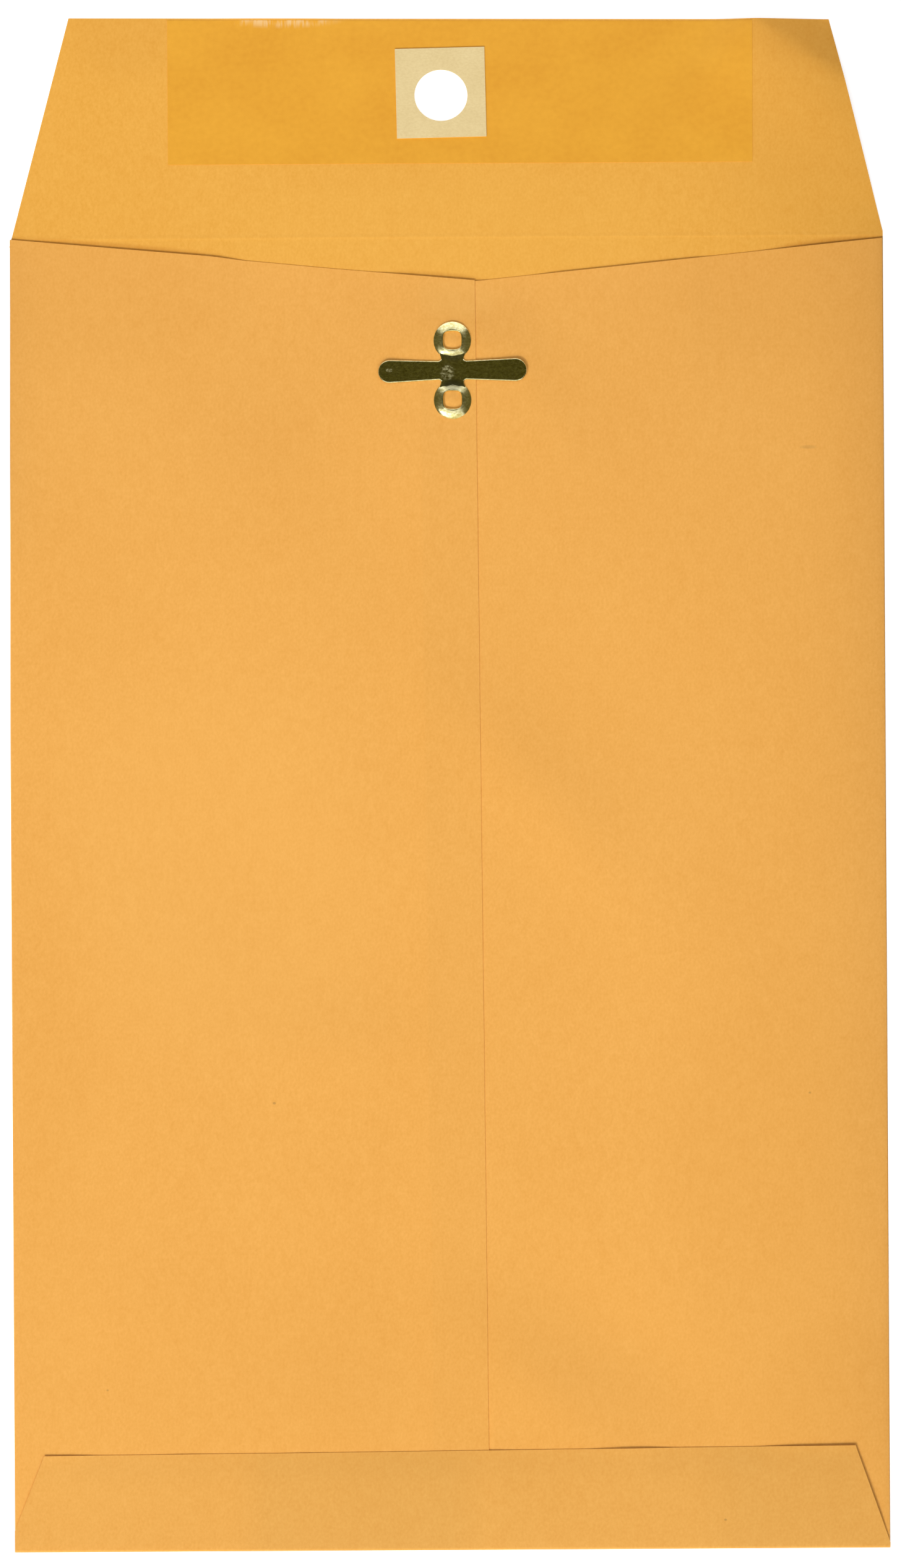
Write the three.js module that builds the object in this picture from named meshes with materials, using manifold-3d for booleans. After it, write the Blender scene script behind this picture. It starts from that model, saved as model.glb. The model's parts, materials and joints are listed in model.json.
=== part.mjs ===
// A clasp envelope, lying flat with its closing flap open.
// Millimetres, +Z up. X runs across the envelope and +Y runs towards the tip of the closing flap.
// The origin is the centre of the outline, on the surface that the envelope lies on.
// The plain address side faces down, and the seam side with the metal clasp faces up.

import * as THREE from 'three';
import { mergeVertices } from 'three/addons/utils/BufferGeometryUtils.js';
import Module from 'manifold-3d';

// The kraft sheet
const paper = 0.15;
const bodyWidth = 152.4;
const bodyLength = 228.6;
const pocketGap = 1.0;

// The side folds are pressed nearly flat at the edge, and the front rises from them over a band
const edgeBand = 6;
const creaseHeight = 0.45;
const creaseReach = 0.3;

// The closing flap, measured from its fold. The die cut it slightly out of square.
const flapDepth = 38.4;
const flapSkew = 0.9;
const flapTipInsetLeft = 10.8;
const flapTipInsetRight = 9.2;
const flapBaseInsetLeft = 0.7;
const flapBaseInsetRight = 0.1;
const foldSlit = 0.3;

// The two front panels and the seam between them
const seamX = 5.1;
const seamLean = 1.4;
const seamOverlap = 9.6;
const throatDrop = 7.2;
const shoulderDrop = 0.3;
const endGap = 0.3;

// The bottom flap, measured from the bottom edge of the envelope
const bottomFlapHeightLeft = 16.5;
const bottomFlapHeightRight = 17.7;
const bottomFlapInsetLeft = 5.2;
const bottomFlapInsetRight = 6.0;
const bottomFlapSlantLeft = 3.8;
const bottomFlapSlantRight = 1.0;

// Glue and gum films
const glueFilm = 0.05;
const glueMargin = 0.8;
const gumFilm = 0.05;
const gumWidth = 101.8;
const gumCentreX = 2.7;
const gumStart = 12.8;
const gumTipMargin = 0.3;

// The clasp hole in the closing flap and the patch round it
const holeRadius = 4.72;
const holeX = -0.6;
const holeFromFold = 24.5;
const patchSide = 15.6;
const patchThickness = 0.12;
const patchShift = 0.35;
const patchTurn = 0.0134;

// The stamped clasp
const claspThickness = 0.3;
const claspX = 0.95;
const claspFromFold = 23.25;
const eyeletSpacing = 10.7;
const eyeletRadius = 3.275;
const eyeletHeight = 1.0;
const eyeletBore = 1.5;
const waistHalfWidth = 1.99;
const waistFromCentre = 1.95;
const clinchReach = 1.1;
const barrelClearance = 0.3;
const petalSlot = 0.35;
const slotDepth = 0.03;
const prongReach = 12.9;
const prongRootWidth = 3.1;
const prongTipWidth = 3.9;
const bendX = 1.8;
const bendClearance = 0.3;

// Heights of the stacked layers
const rightPanelZ = paper + pocketGap;
const seamGlueZ = rightPanelZ + paper;
const leftPanelZ = seamGlueZ + glueFilm;
const frontZ = leftPanelZ + paper;
const bottomFlapZ = frontZ + glueFilm;
const insideZ = rightPanelZ - frontZ;

// Lines that the pieces share, in the frame of the finished envelope
const halfWidth = bodyWidth / 2;
const bottomY = -(bodyLength + flapDepth) / 2;
const foldY = bottomY + bodyLength;
const leftBandX = -halfWidth + edgeBand;
const rightBandX = halfWidth - edgeBand;
const bottomFlatY = bottomY + paper;
const sideStartY = bottomFlatY + endGap;
const shoulderY = foldY - shoulderDrop;
const throatY = foldY - throatDrop;
const throatSlopeLeft = (shoulderY - throatY) / (halfWidth + seamX);
const throatSlopeRight = (shoulderY - throatY) / (halfWidth - seamX);
const claspY = foldY - claspFromFold;
const holeY = foldY + holeFromFold;

const kraftFront = new THREE.MeshStandardMaterial({ color: '#efaf5b', roughness: 0.85, metalness: 0 });
const kraftInside = new THREE.MeshStandardMaterial({ color: '#f0b04c', roughness: 0.85, metalness: 0 });
const gumMaterial = new THREE.MeshStandardMaterial({ color: '#e9a838', roughness: 0.35, metalness: 0 });
const glueMaterial = new THREE.MeshStandardMaterial({ color: '#e6cf9a', roughness: 0.5, metalness: 0 });
const patchMaterial = new THREE.MeshStandardMaterial({ color: '#e8cf98', roughness: 0.8, metalness: 0 });
const claspMaterial = new THREE.MeshStandardMaterial({ color: '#c9b45a', roughness: 0.25, metalness: 1 });

const envelope = new THREE.Group();
const wasm = await Module();
wasm.setup();

function addPiece(name, geometry, material, z = 0) {
  const piece = new THREE.Mesh(geometry, material);
  piece.name = name;
  piece.position.z = z;
  envelope.add(piece);
}

// A flat panel of even thickness from its corners, with any holes given as paths
function flatPanel(corners, thickness, holes = []) {
  const outline = new THREE.Shape(corners.map(([x, y]) => new THREE.Vector2(x, y)));
  outline.holes.push(...holes);
  return new THREE.ExtrudeGeometry(outline, { depth: thickness, bevelEnabled: false, curveSegments: 24 });
}

// A side fold seen along the crease: x is the distance in from the edge and y is the height
function sideFoldProfile(topZ) {
  const middle = creaseHeight / 2;
  const profile = new THREE.Shape();
  profile.moveTo(edgeBand, topZ);
  profile.absellipse(creaseReach, middle, creaseReach, middle, Math.PI / 2, Math.PI * 3 / 2, false, 0);
  profile.absellipse(
    creaseReach, middle, creaseReach - paper, middle - paper, Math.PI * 3 / 2, Math.PI / 2, true, 0,
  );
  profile.lineTo(edgeBand, topZ - paper);
  return profile;
}

// A side fold from the bottom of the pocket up to the shoulder, with its height along +Z
function sideFold(topZ) {
  const fold = new THREE.ExtrudeGeometry(sideFoldProfile(topZ), {
    depth: shoulderY - sideStartY, bevelEnabled: false, curveSegments: 6,
  });
  return fold.rotateX(Math.PI / 2);
}

// The upper end of a side fold follows the slope of the throat
function slopeUpperEnd(fold, slope) {
  const points = fold.getAttribute('position');
  for (let i = 0; i < points.count; i += 1) {
    const inward = halfWidth - Math.abs(points.getX(i));
    if (points.getY(i) > foldY / 2) points.setY(i, points.getY(i) - slope * inward);
  }
}

// How far a rounded square reaches at an angle, beside a circle of radius 1
function roundedSquare(angle) {
  const power = 4;
  return (Math.abs(Math.cos(angle)) ** power + Math.abs(Math.sin(angle)) ** power) ** (-1 / power);
}

// The two holes that the clasp's barrels go through, cut through whatever lies under the clasp
function barrelHoles() {
  const halfSide = eyeletBore + claspThickness + barrelClearance;
  const steps = 24;
  return [-1, 1].map((side) => {
    const points = [];
    for (let i = 0; i < steps; i += 1) {
      const angle = i / steps * Math.PI * 2;
      const reach = halfSide * roundedSquare(angle);
      const y = claspY + side * eyeletSpacing / 2 + reach * Math.sin(angle);
      points.push(new THREE.Vector2(claspX + reach * Math.cos(angle), y));
    }
    return new THREE.Path(points);
  });
}

function claspHole() {
  return new THREE.Path().absarc(holeX, holeY, holeRadius, 0, Math.PI * 2, true);
}

// The seam leans a little, so its place depends on how far down the envelope it is
function seamAt(y) {
  return seamX + seamLean * (throatY - y) / (throatY - bottomY);
}

// The two halves of the throat fall from the shoulders to the seam
function throatLeftAt(x) {
  return shoulderY - throatSlopeLeft * (x + halfWidth);
}

function throatRightAt(x) {
  return shoulderY - throatSlopeRight * (halfWidth - x);
}

function makeAddressPanel() {
  const edgeX = halfWidth - creaseReach;
  const corners = [
    [-edgeX, bottomFlatY], [edgeX, bottomFlatY],
    [edgeX, foldY - foldSlit / 2], [-edgeX, foldY - foldSlit / 2],
  ];
  addPiece('address_panel', flatPanel(corners, paper), kraftFront);
}

function makeFrontPanels() {
  const left = [
    [leftBandX, sideStartY], [seamAt(sideStartY), sideStartY],
    [seamX, throatLeftAt(seamX)], [leftBandX, throatLeftAt(leftBandX)],
  ];
  const hiddenX = seamX - seamOverlap;
  const right = [
    [seamAt(sideStartY) - seamOverlap, sideStartY], [rightBandX, sideStartY],
    [rightBandX, throatRightAt(rightBandX)], [hiddenX, throatRightAt(hiddenX)],
  ];
  addPiece('left_seam_panel', flatPanel(left, paper, barrelHoles()), kraftFront, leftPanelZ);
  addPiece('right_seam_panel', flatPanel(right, paper, barrelHoles()), kraftFront, rightPanelZ);
}

function makeSeamGlue() {
  const topY = throatY - glueMargin * 2;
  const corners = [
    [seamAt(sideStartY) - seamOverlap + glueMargin, sideStartY + glueMargin],
    [seamAt(sideStartY) - glueMargin, sideStartY + glueMargin],
    [seamAt(topY) - glueMargin, topY],
    [seamAt(topY) - seamOverlap + glueMargin, topY],
  ];
  addPiece('seam_glue', flatPanel(corners, glueFilm, barrelHoles()), glueMaterial, seamGlueZ);
}

function makeSideFolds() {
  const left = sideFold(frontZ);
  left.translate(-halfWidth, shoulderY, 0);
  slopeUpperEnd(left, throatSlopeLeft);
  addPiece('left_side_fold', left, kraftFront);
  const right = sideFold(rightPanelZ + paper);
  right.rotateZ(Math.PI);
  right.translate(halfWidth, sideStartY, 0);
  slopeUpperEnd(right, throatSlopeRight);
  addPiece('right_side_fold', right, kraftFront);
}

// The bottom fold is pressed square: a low wall of paper with its outer corners rounded off
function makeBottomFold() {
  const height = bottomFlapZ + paper;
  const profile = new THREE.Shape();
  profile.moveTo(0, paper);
  profile.absarc(paper, paper, paper, Math.PI, Math.PI * 3 / 2, false);
  profile.lineTo(paper, height);
  profile.absarc(paper, height - paper, paper, Math.PI / 2, Math.PI, false);
  const fold = new THREE.ExtrudeGeometry(profile, { depth: bodyWidth, bevelEnabled: false, curveSegments: 4 });
  fold.rotateX(Math.PI / 2);
  fold.rotateZ(Math.PI / 2);
  fold.translate(-halfWidth, bottomY, 0);
  addPiece('bottom_fold', fold, kraftFront);
}

function makeBottomFlap() {
  const flap = [
    [-halfWidth, bottomFlatY], [halfWidth, bottomFlatY],
    [halfWidth, bottomY + bottomFlapSlantRight],
    [halfWidth - bottomFlapInsetRight, bottomY + bottomFlapHeightRight],
    [-halfWidth + bottomFlapInsetLeft, bottomY + bottomFlapHeightLeft],
    [-halfWidth, bottomY + bottomFlapSlantLeft],
  ];
  addPiece('bottom_flap', flatPanel(flap, paper), kraftFront, bottomFlapZ);
}

// The glue under the bottom flap also fills the step beside the seam, where the right panel lies lower
function makeBottomFlapGlue() {
  const stepX = seamAt(bottomY) + glueMargin;
  const left = -halfWidth + bottomFlapInsetLeft + glueMargin;
  const right = halfWidth - bottomFlapInsetRight - glueMargin;
  const profile = new THREE.Shape();
  profile.moveTo(left, frontZ);
  profile.lineTo(stepX, frontZ);
  profile.lineTo(stepX, rightPanelZ + paper);
  profile.lineTo(right, rightPanelZ + paper);
  profile.lineTo(right, bottomFlapZ);
  profile.lineTo(left, bottomFlapZ);
  const height = Math.min(bottomFlapHeightLeft, bottomFlapHeightRight);
  const startY = sideStartY + glueMargin;
  const endY = bottomY + height - glueMargin;
  const glue = new THREE.ExtrudeGeometry(profile, { depth: endY - startY, bevelEnabled: false });
  glue.rotateX(Math.PI / 2);
  glue.translate(0, endY, 0);
  addPiece('bottom_flap_glue', glue, glueMaterial);
}

// Where the tip of the closing flap is at a place across it
function flapTipAt(x) {
  const leftX = -halfWidth + flapTipInsetLeft;
  const rightX = halfWidth - flapTipInsetRight;
  return foldY + flapDepth - flapSkew * (x - leftX) / (rightX - leftX);
}

function makeClosureFlap() {
  const tipLeft = -halfWidth + flapTipInsetLeft;
  const tipRight = halfWidth - flapTipInsetRight;
  const baseY = foldY + foldSlit / 2;
  const corners = [
    [-halfWidth + flapBaseInsetLeft, baseY], [halfWidth - flapBaseInsetRight, baseY],
    [tipRight, flapTipAt(tipRight)], [tipLeft, flapTipAt(tipLeft)],
  ];
  addPiece('closure_flap', flatPanel(corners, paper, [claspHole()]), kraftInside);
}

function makeFlapGum() {
  const left = gumCentreX - gumWidth / 2;
  const right = gumCentreX + gumWidth / 2;
  const corners = [
    [left, foldY + gumStart], [right, foldY + gumStart],
    [right, flapTipAt(right) - gumTipMargin], [left, flapTipAt(left) - gumTipMargin],
  ];
  addPiece('flap_gum', flatPanel(corners, gumFilm, [claspHole()]), gumMaterial, paper);
}

function makeHolePatch() {
  const turn = (x, y) => [
    holeX + x * Math.cos(patchTurn) - y * Math.sin(patchTurn),
    holeY + patchShift + x * Math.sin(patchTurn) + y * Math.cos(patchTurn),
  ];
  const half = patchSide / 2;
  const corners = [turn(-half, -half), turn(half, -half), turn(half, half), turn(-half, half)];
  addPiece('hole_patch', flatPanel(corners, patchThickness, [claspHole()]), patchMaterial, paper + gumFilm);
}

// Half of an eyelet's section, as radius and height: over the crown, down the bore and out under the paper
function eyeletProfile() {
  const middle = (eyeletBore + eyeletRadius) / 2;
  const half = (eyeletRadius - eyeletBore) / 2;
  const barrel = eyeletBore + claspThickness;
  const profile = new THREE.Path();
  profile.absellipse(middle, 0, half, eyeletHeight, 0, Math.PI, false, 0);
  profile.absarc(barrel, insideZ, claspThickness, Math.PI, Math.PI * 3 / 2, false);
  profile.lineTo(barrel + clinchReach, insideZ - claspThickness);
  profile.lineTo(barrel + clinchReach, insideZ);
  profile.lineTo(barrel, insideZ);
  profile.absellipse(
    middle, 0, half - claspThickness, eyeletHeight - claspThickness, Math.PI, 0, true, 0,
  );
  profile.lineTo(eyeletRadius, 0);
  return profile;
}

// The punch leaves a rounded square bore, which fades to the round rim
function squareTheBore(ring) {
  const points = ring.getAttribute('position');
  const barrel = eyeletBore + claspThickness;
  const rim = eyeletRadius - claspThickness;
  for (let i = 0; i < points.count; i += 1) {
    const x = points.getX(i);
    const y = points.getY(i);
    const fade = THREE.MathUtils.clamp((rim - Math.hypot(x, y)) / (rim - barrel), 0, 1);
    const factor = 1 + (roundedSquare(Math.atan2(y, x)) - 1) * fade;
    points.setXY(i, x * factor, y * factor);
  }
}

function eyeletGeometry() {
  const ring = new THREE.LatheGeometry(eyeletProfile().getPoints(8), 32);
  ring.rotateX(Math.PI / 2);
  squareTheBore(ring);
  return ring;
}

// The middle plate between the eyelets: round lobes drawn in to a waist, with a straight land in between
function plateShape() {
  const lobeY = eyeletSpacing / 2;
  const rise = lobeY - waistFromCentre;
  const lobe = eyeletRadius;
  const gap = rise ** 2 + waistHalfWidth ** 2 - lobe ** 2;
  const neck = gap / (2 * (lobe - waistHalfWidth));
  const neckX = waistHalfWidth + neck;
  const lean = Math.atan2(rise, neckX);
  const landHalf = prongRootWidth / 2;
  const plate = new THREE.Shape();
  plate.moveTo(bendX - bendClearance, -landHalf);
  plate.lineTo(bendX - bendClearance, landHalf);
  plate.lineTo(waistHalfWidth, waistFromCentre);
  plate.absarc(neckX, waistFromCentre, neck, Math.PI, Math.PI - lean, true);
  plate.absarc(0, lobeY, lobe, -lean, Math.PI + lean, false);
  plate.absarc(-neckX, waistFromCentre, neck, lean, 0, true);
  plate.lineTo(-bendX + bendClearance, landHalf);
  plate.lineTo(-bendX + bendClearance, -landHalf);
  plate.lineTo(-waistHalfWidth, -waistFromCentre);
  plate.absarc(-neckX, -waistFromCentre, neck, 0, -lean, true);
  plate.absarc(0, -lobeY, lobe, Math.PI - lean, lean, false);
  plate.absarc(neckX, -waistFromCentre, neck, Math.PI + lean, Math.PI, true);
  return plate;
}

function asSolid(geometry) {
  const bare = geometry.clone();
  bare.deleteAttribute('normal');
  bare.deleteAttribute('uv');
  const merged = mergeVertices(bare, 1e-4);
  return new wasm.Manifold(new wasm.Mesh({
    numProp: 3,
    vertProperties: new Float32Array(merged.getAttribute('position').array),
    triVerts: new Uint32Array(merged.getIndex().array),
  }));
}

function asGeometry(solid) {
  const mesh = solid.getMesh();
  const geometry = new THREE.BufferGeometry();
  geometry.setAttribute('position', new THREE.BufferAttribute(new Float32Array(mesh.vertProperties), 3));
  geometry.setIndex(new THREE.BufferAttribute(new Uint32Array(mesh.triVerts), 1));
  geometry.computeVertexNormals();
  return geometry;
}

// Two crossed slots part the clinched rim into four petals, as the punch tears them
function cutPetals(solid, centreY) {
  const length = (eyeletRadius + clinchReach) * 2;
  let cut = solid;
  for (const turn of [Math.PI / 4, -Math.PI / 4]) {
    const slot = new THREE.BoxGeometry(length, petalSlot, claspThickness * 2);
    slot.rotateZ(turn);
    slot.translate(0, centreY, insideZ - claspThickness + slotDepth);
    cut = cut.subtract(asSolid(slot));
  }
  return cut;
}

// Each eyelet takes the place of the flat metal inside its rim
function makeClaspBase() {
  const plate = new THREE.ExtrudeGeometry(plateShape(), {
    depth: claspThickness, bevelEnabled: false, curveSegments: 16,
  });
  const wellRadius = eyeletRadius - claspThickness / 2;
  let base = asSolid(plate);
  for (const side of [-1, 1]) {
    const centreY = side * eyeletSpacing / 2;
    const well = new THREE.CylinderGeometry(wellRadius, wellRadius, claspThickness * 4, 32);
    well.rotateX(Math.PI / 2);
    well.translate(0, centreY, 0);
    const eyelet = eyeletGeometry();
    eyelet.translate(0, centreY, 0);
    base = base.subtract(asSolid(well)).add(asSolid(eyelet));
    base = cutPetals(base, centreY);
  }
  const geometry = asGeometry(base);
  geometry.translate(claspX, claspY, 0);
  addPiece('clasp_base', geometry, claspMaterial, frontZ);
}

// A prong runs from its bend line to a round tip and widens on the way
function prongShape(side) {
  const tipRadius = prongTipWidth / 2;
  const tipX = prongReach - tipRadius;
  const rootHalf = prongRootWidth / 2;
  const prong = new THREE.Shape();
  prong.moveTo(side * bendX, -rootHalf);
  prong.lineTo(side * tipX, -tipRadius);
  if (side > 0) prong.absarc(tipX, 0, tipRadius, -Math.PI / 2, Math.PI / 2, false);
  else prong.absarc(-tipX, 0, tipRadius, -Math.PI / 2, Math.PI / 2, true);
  prong.lineTo(side * bendX, rootHalf);
  return prong;
}

function makeProng(name, side) {
  const prong = new THREE.ExtrudeGeometry(prongShape(side), {
    depth: claspThickness, bevelEnabled: false, curveSegments: 12,
  });
  prong.translate(claspX, claspY, 0);
  addPiece(name, prong, claspMaterial, frontZ);
}

makeAddressPanel();
makeSideFolds();
makeFrontPanels();
makeSeamGlue();
makeBottomFold();
makeBottomFlap();
makeBottomFlapGlue();
makeClosureFlap();
makeFlapGum();
makeHolePatch();
makeClaspBase();
makeProng('clasp_prong_left', -1);
makeProng('clasp_prong_right', 1);

export default envelope;
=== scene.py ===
# %% [markdown]
# # A kraft clasp envelope around its frame
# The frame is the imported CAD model: flat panels, folds, glue films and a stamped clasp, with joints
# at the closing flap's fold and at the two prongs. Here each flat solid gives way to a piece with
# the soft relief, the creases and the finish of the real one, in the same place.
# A real envelope of this kind is one die-cut sheet of golden kraft paper, folded and glued. It could
# be one mesh, but separate sheets that meet where the CAD divides them can bend at the joints.

# %% Load the frame and keep its box
import json
import math

import bmesh
import bpy
from mathutils import Matrix, Vector


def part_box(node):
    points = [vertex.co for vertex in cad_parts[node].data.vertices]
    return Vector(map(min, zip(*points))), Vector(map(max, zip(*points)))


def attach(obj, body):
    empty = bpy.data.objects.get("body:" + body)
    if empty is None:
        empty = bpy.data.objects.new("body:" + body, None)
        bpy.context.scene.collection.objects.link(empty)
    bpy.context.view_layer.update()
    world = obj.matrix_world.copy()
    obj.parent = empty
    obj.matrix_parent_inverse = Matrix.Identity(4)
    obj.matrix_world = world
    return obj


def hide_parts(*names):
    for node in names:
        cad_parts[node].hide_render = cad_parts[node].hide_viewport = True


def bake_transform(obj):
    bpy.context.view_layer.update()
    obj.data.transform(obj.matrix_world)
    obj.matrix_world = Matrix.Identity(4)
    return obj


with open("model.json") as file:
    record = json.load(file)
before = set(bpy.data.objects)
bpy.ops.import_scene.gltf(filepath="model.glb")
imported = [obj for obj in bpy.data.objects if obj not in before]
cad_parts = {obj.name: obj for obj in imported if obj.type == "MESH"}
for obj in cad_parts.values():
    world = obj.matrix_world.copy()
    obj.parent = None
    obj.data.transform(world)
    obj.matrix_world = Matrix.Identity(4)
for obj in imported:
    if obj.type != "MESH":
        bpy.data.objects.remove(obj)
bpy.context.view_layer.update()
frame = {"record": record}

# %% [markdown]
# ## The sheet's own measures
# The meshes are drawn in millimetres, because paper and stamped metal are measured that way, and are
# turned to metres when they are finished. The main lines are read from the CAD nodes, so the pieces
# meet the frame without any fitting.

# %% Lines of the folded sheet
MM = 0.001


def box_mm(node):
    """The lowest and highest corner of a CAD node, in millimetres."""
    low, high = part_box(node)
    return [c / MM for c in low], [c / MM for c in high]


# The stock, and the lines that the frame gives
PAPER = 0.15
GLUE = 0.05
HALF_WIDTH = box_mm("bottom_fold")[1][0]
BOTTOM_Y = box_mm("bottom_fold")[0][1]
FRONT_TOP = box_mm("left_seam_panel")[1][2]
FOLD_Y = frame["record"]["behaviour"]["joints"][0]["pos_m"][1] / MM

# The seam of the front panels, the slanted mouth, the clasp and the hole that it goes through
SEAM_TOP_X = 5.1
SEAM_LEAN = 1.4
OVERLAP = 9.6
SHOULDER_Y = FOLD_Y - 0.4
THROAT_Y = FOLD_Y - 7.5
CLASP = Vector((1.13, FOLD_Y - 23.35, FRONT_TOP))
HOLE = Vector((-0.6, FOLD_Y + 24.6, 0))
HOLE_RADIUS = 4.61
HOLE_OVAL = 0.965
print("Half width, bottom, fold, front:", HALF_WIDTH, BOTTOM_Y, FOLD_Y, FRONT_TOP)


def seam_x(y):
    """Where the edge of the upper front panel runs: it leans a little."""
    return SEAM_TOP_X + SEAM_LEAN * (THROAT_Y - y) / (THROAT_Y - BOTTOM_Y)


def throat_y(x, side):
    """The slanted mouth edge of a front panel. side is -1 on the left and 1 on the right."""
    slope = (SHOULDER_Y - THROAT_Y) / (HALF_WIDTH - side * SEAM_TOP_X)
    return SHOULDER_Y - slope * (HALF_WIDTH - side * x)


# %% [markdown]
# ## How high the empty pocket stands
# Paper that has been folded never lies quite flat. The front rises from its pressed side folds, its
# mouth edge lifts in two or three shallow humps, and broad waves cross it. A cloth simulation could
# find such waves, but paper hardly stretches and the photograph shows where they are, so the heights
# are plain functions: the shade of each wave comes from its true slope.


# %% Smooth steps and given lines
def ramp(value, start, run):
    """An S-curve from 0 to 1 that begins at the start and ends a run later."""
    t = min(max((value - start) / run, 0.0), 1.0)
    return t * t * (3 - 2 * t)


def fading(distance, length):
    """1 at an edge, dying away over a length behind it."""
    return math.exp(-max(distance, 0.0) / length)


def plateau(distance, half_width):
    """1 near a place, and steeply down to 0 round its half width."""
    return math.exp(-((distance / half_width) ** 4))


def along(points, x):
    """A smooth line through given places and heights."""
    if x <= points[0][0]:
        return points[0][1]
    for (x0, h0), (x1, h1) in zip(points, points[1:]):
        if x <= x1:
            return h0 + (h1 - h0) * ramp(x, x0, x1 - x0)
    return points[-1][1]


# %% Measures of the relief
# The rounded side folds, and the clasp's two eyelets, the lower one first
CREASE_RADIUS = 0.225
CREASE_X = HALF_WIDTH - CREASE_RADIUS
CREASE_TOP = 2 * CREASE_RADIUS
EYELET_SPACING = 10.35
EYELETS = [CLASP + Vector((0, side * EYELET_SPACING / 2, 0)) for side in (-1, 1)]

# The lip of the left and the right panel at the mouth, as places across and heights above the table,
# and how far the die-cut mouth edge strays from a straight line, all in mm.
LIP = {
    -1: [(-76, 0.38), (-64, 0.43), (-51, 0.44), (-40, 0.44), (-33, 0.24), (-14, 0.24), (-6, 0.42), (1, 0.46),
         (5, 0.46)],
    1: [(-5, 0.4), (4, 0.4), (8, 0.24), (14, 0.24), (21, 0.4), (27, 0.4), (36, 0.43), (42, 0.41), (47, 0.25),
        (52, 0.25), (66, 0.47), (71, 0.45), (76, 0.38)],
}
MOUTH_STRAY = {
    -1: [(-76, 0.3), (-42, 0.3), (-34, 0), (-18, -0.15), (5, -0.15)],
    1: [(5, -0.3), (20, -0.28), (76, -0.2)],
}

# How far the front takes to rise from a side fold, from the bottom and from the mouth. Over the clasp
# the mouth's run is shorter, and most of all right over its middle.
SIDE_RUN = {-1: 20, 1: 15}
CREASE_RUN = 2.5
BOTTOM_SHARE, BOTTOM_RUN = 0.3, 16
MOUTH_RUN = 38
MOUTH_SHORTER = [(24, 18), (3.5, 5)]

# How thick a layer is where it is pressed at the seam. Then where the pressed part, the right panel
# and the left one come back to their own height, each as the start and the run of a ramp.
PRESSED = 0.12
SEAM_PRESS, SEAM_STEP, OVERLAP_STEP = (0, 3), (0, 12), (-8, 10)

# How high the back sheet bulges and where, and the plugs of paper that the clasp's barrels push up.
BULGE, BULGE_X, BULGE_HALF = 0.45, -5, 30
BULGE_RISE, BULGE_FALL = (-45, 42), (-2, 26)
PLUG, PLUG_RADIUS = 0.45, 1.9

# How deep the front sags between its soft folds, and how far round the clasp it is held flat. Each
# fold has its place, turn in degrees, half length, half width and height.
SAG = 0.2
HELD_RADIUS, HELD_RUN = 14, 22
SOFT_FOLDS = [
    (-41, -17, -31, 34, 20, -0.5),
    (14, 0, -49, 24, 8, 0.45),
    (36, -16, -62, 28, 16, 0.3),
    (30, -98, -40, 18, 9, -0.45),
    (15, -106, -42, 16, 7, 0.28),
    (-36, 42, 90, 20, 16, 0.4),
    (42, 36, 60, 20, 18, 0.36),
    (-22, -112, 10, 16, 12, 0.32),
    (-60, -90, 0, 14, 10, 0.32),
    (-19, -46, 0, 14, 9, 0.26),
    (51.7, -35, 70, 3.6, 2.2, 0.07),
]

# %% Heights of the front
def waves(x, y):
    """How far the soft folds lie below the stretched front."""
    depth = SAG
    for place_x, place_y, degrees, half_length, half_width, height in SOFT_FOLDS:
        turn = math.radians(degrees)
        run = (x - place_x) * math.cos(turn) + (y - place_y) * math.sin(turn)
        across = (y - place_y) * math.cos(turn) - (x - place_x) * math.sin(turn)
        depth -= height * math.exp(-((run / half_length) ** 2) - (across / half_width) ** 2)
    return depth * ramp(math.hypot(x - CLASP.x, y - CLASP.y), HELD_RADIUS, HELD_RUN)


def bulge(x, y):
    """The back sheet lifts a little off the table round the middle of the mouth."""
    rise = ramp(y - FOLD_Y, *BULGE_RISE) * (1 - ramp(y - FOLD_Y, *BULGE_FALL))
    return BULGE * rise * math.exp(-(((x - BULGE_X) / BULGE_HALF) ** 2))


def mouth_y(x, side):
    """Where the mouth edge really runs."""
    return throat_y(x, side) + along(MOUTH_STRAY[side], x)


def hidden_step(x, y, side):
    """How much lower a panel lies where there is no second layer under it."""
    if side < 0:
        return (PAPER + GLUE) * (1 - ramp(x - seam_x(y) + OVERLAP, *OVERLAP_STEP))
    return PRESSED + (PAPER + GLUE - PRESSED) * ramp(x - seam_x(y), *SEAM_STEP)


def front_top(x, y, side):
    """The upper face of a front panel, before the overlap is taken into account."""
    inward = max(CREASE_X - abs(x), 0.0)
    rise = 1 - fading(inward, SIDE_RUN[side])
    upward = BOTTOM_SHARE + (1 - BOTTOM_SHARE) * (1 - fading(y - BOTTOM_Y, BOTTOM_RUN))
    body = CREASE_TOP + (FRONT_TOP - CREASE_TOP - hidden_step(x, y, side)) * rise * upward
    body -= waves(x, y) * rise
    lip = along(LIP[side], x) + bulge(x, y)
    run = MOUTH_RUN - sum(less * plateau(x - CLASP.x, half_width) for less, half_width in MOUTH_SHORTER)
    top = lip + (body - lip) * ramp(mouth_y(x, side) - y, 0, run)
    return CREASE_TOP + (top - CREASE_TOP) * (1 - fading(inward, CREASE_RUN))


def left_top(x, y):
    """The upper front panel, with its two plugs."""
    plugs = sum(plateau(math.hypot(x - eyelet.x, y - eyelet.y), PLUG_RADIUS) for eyelet in EYELETS)
    return front_top(x, y, -1) + PLUG * plugs


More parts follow.
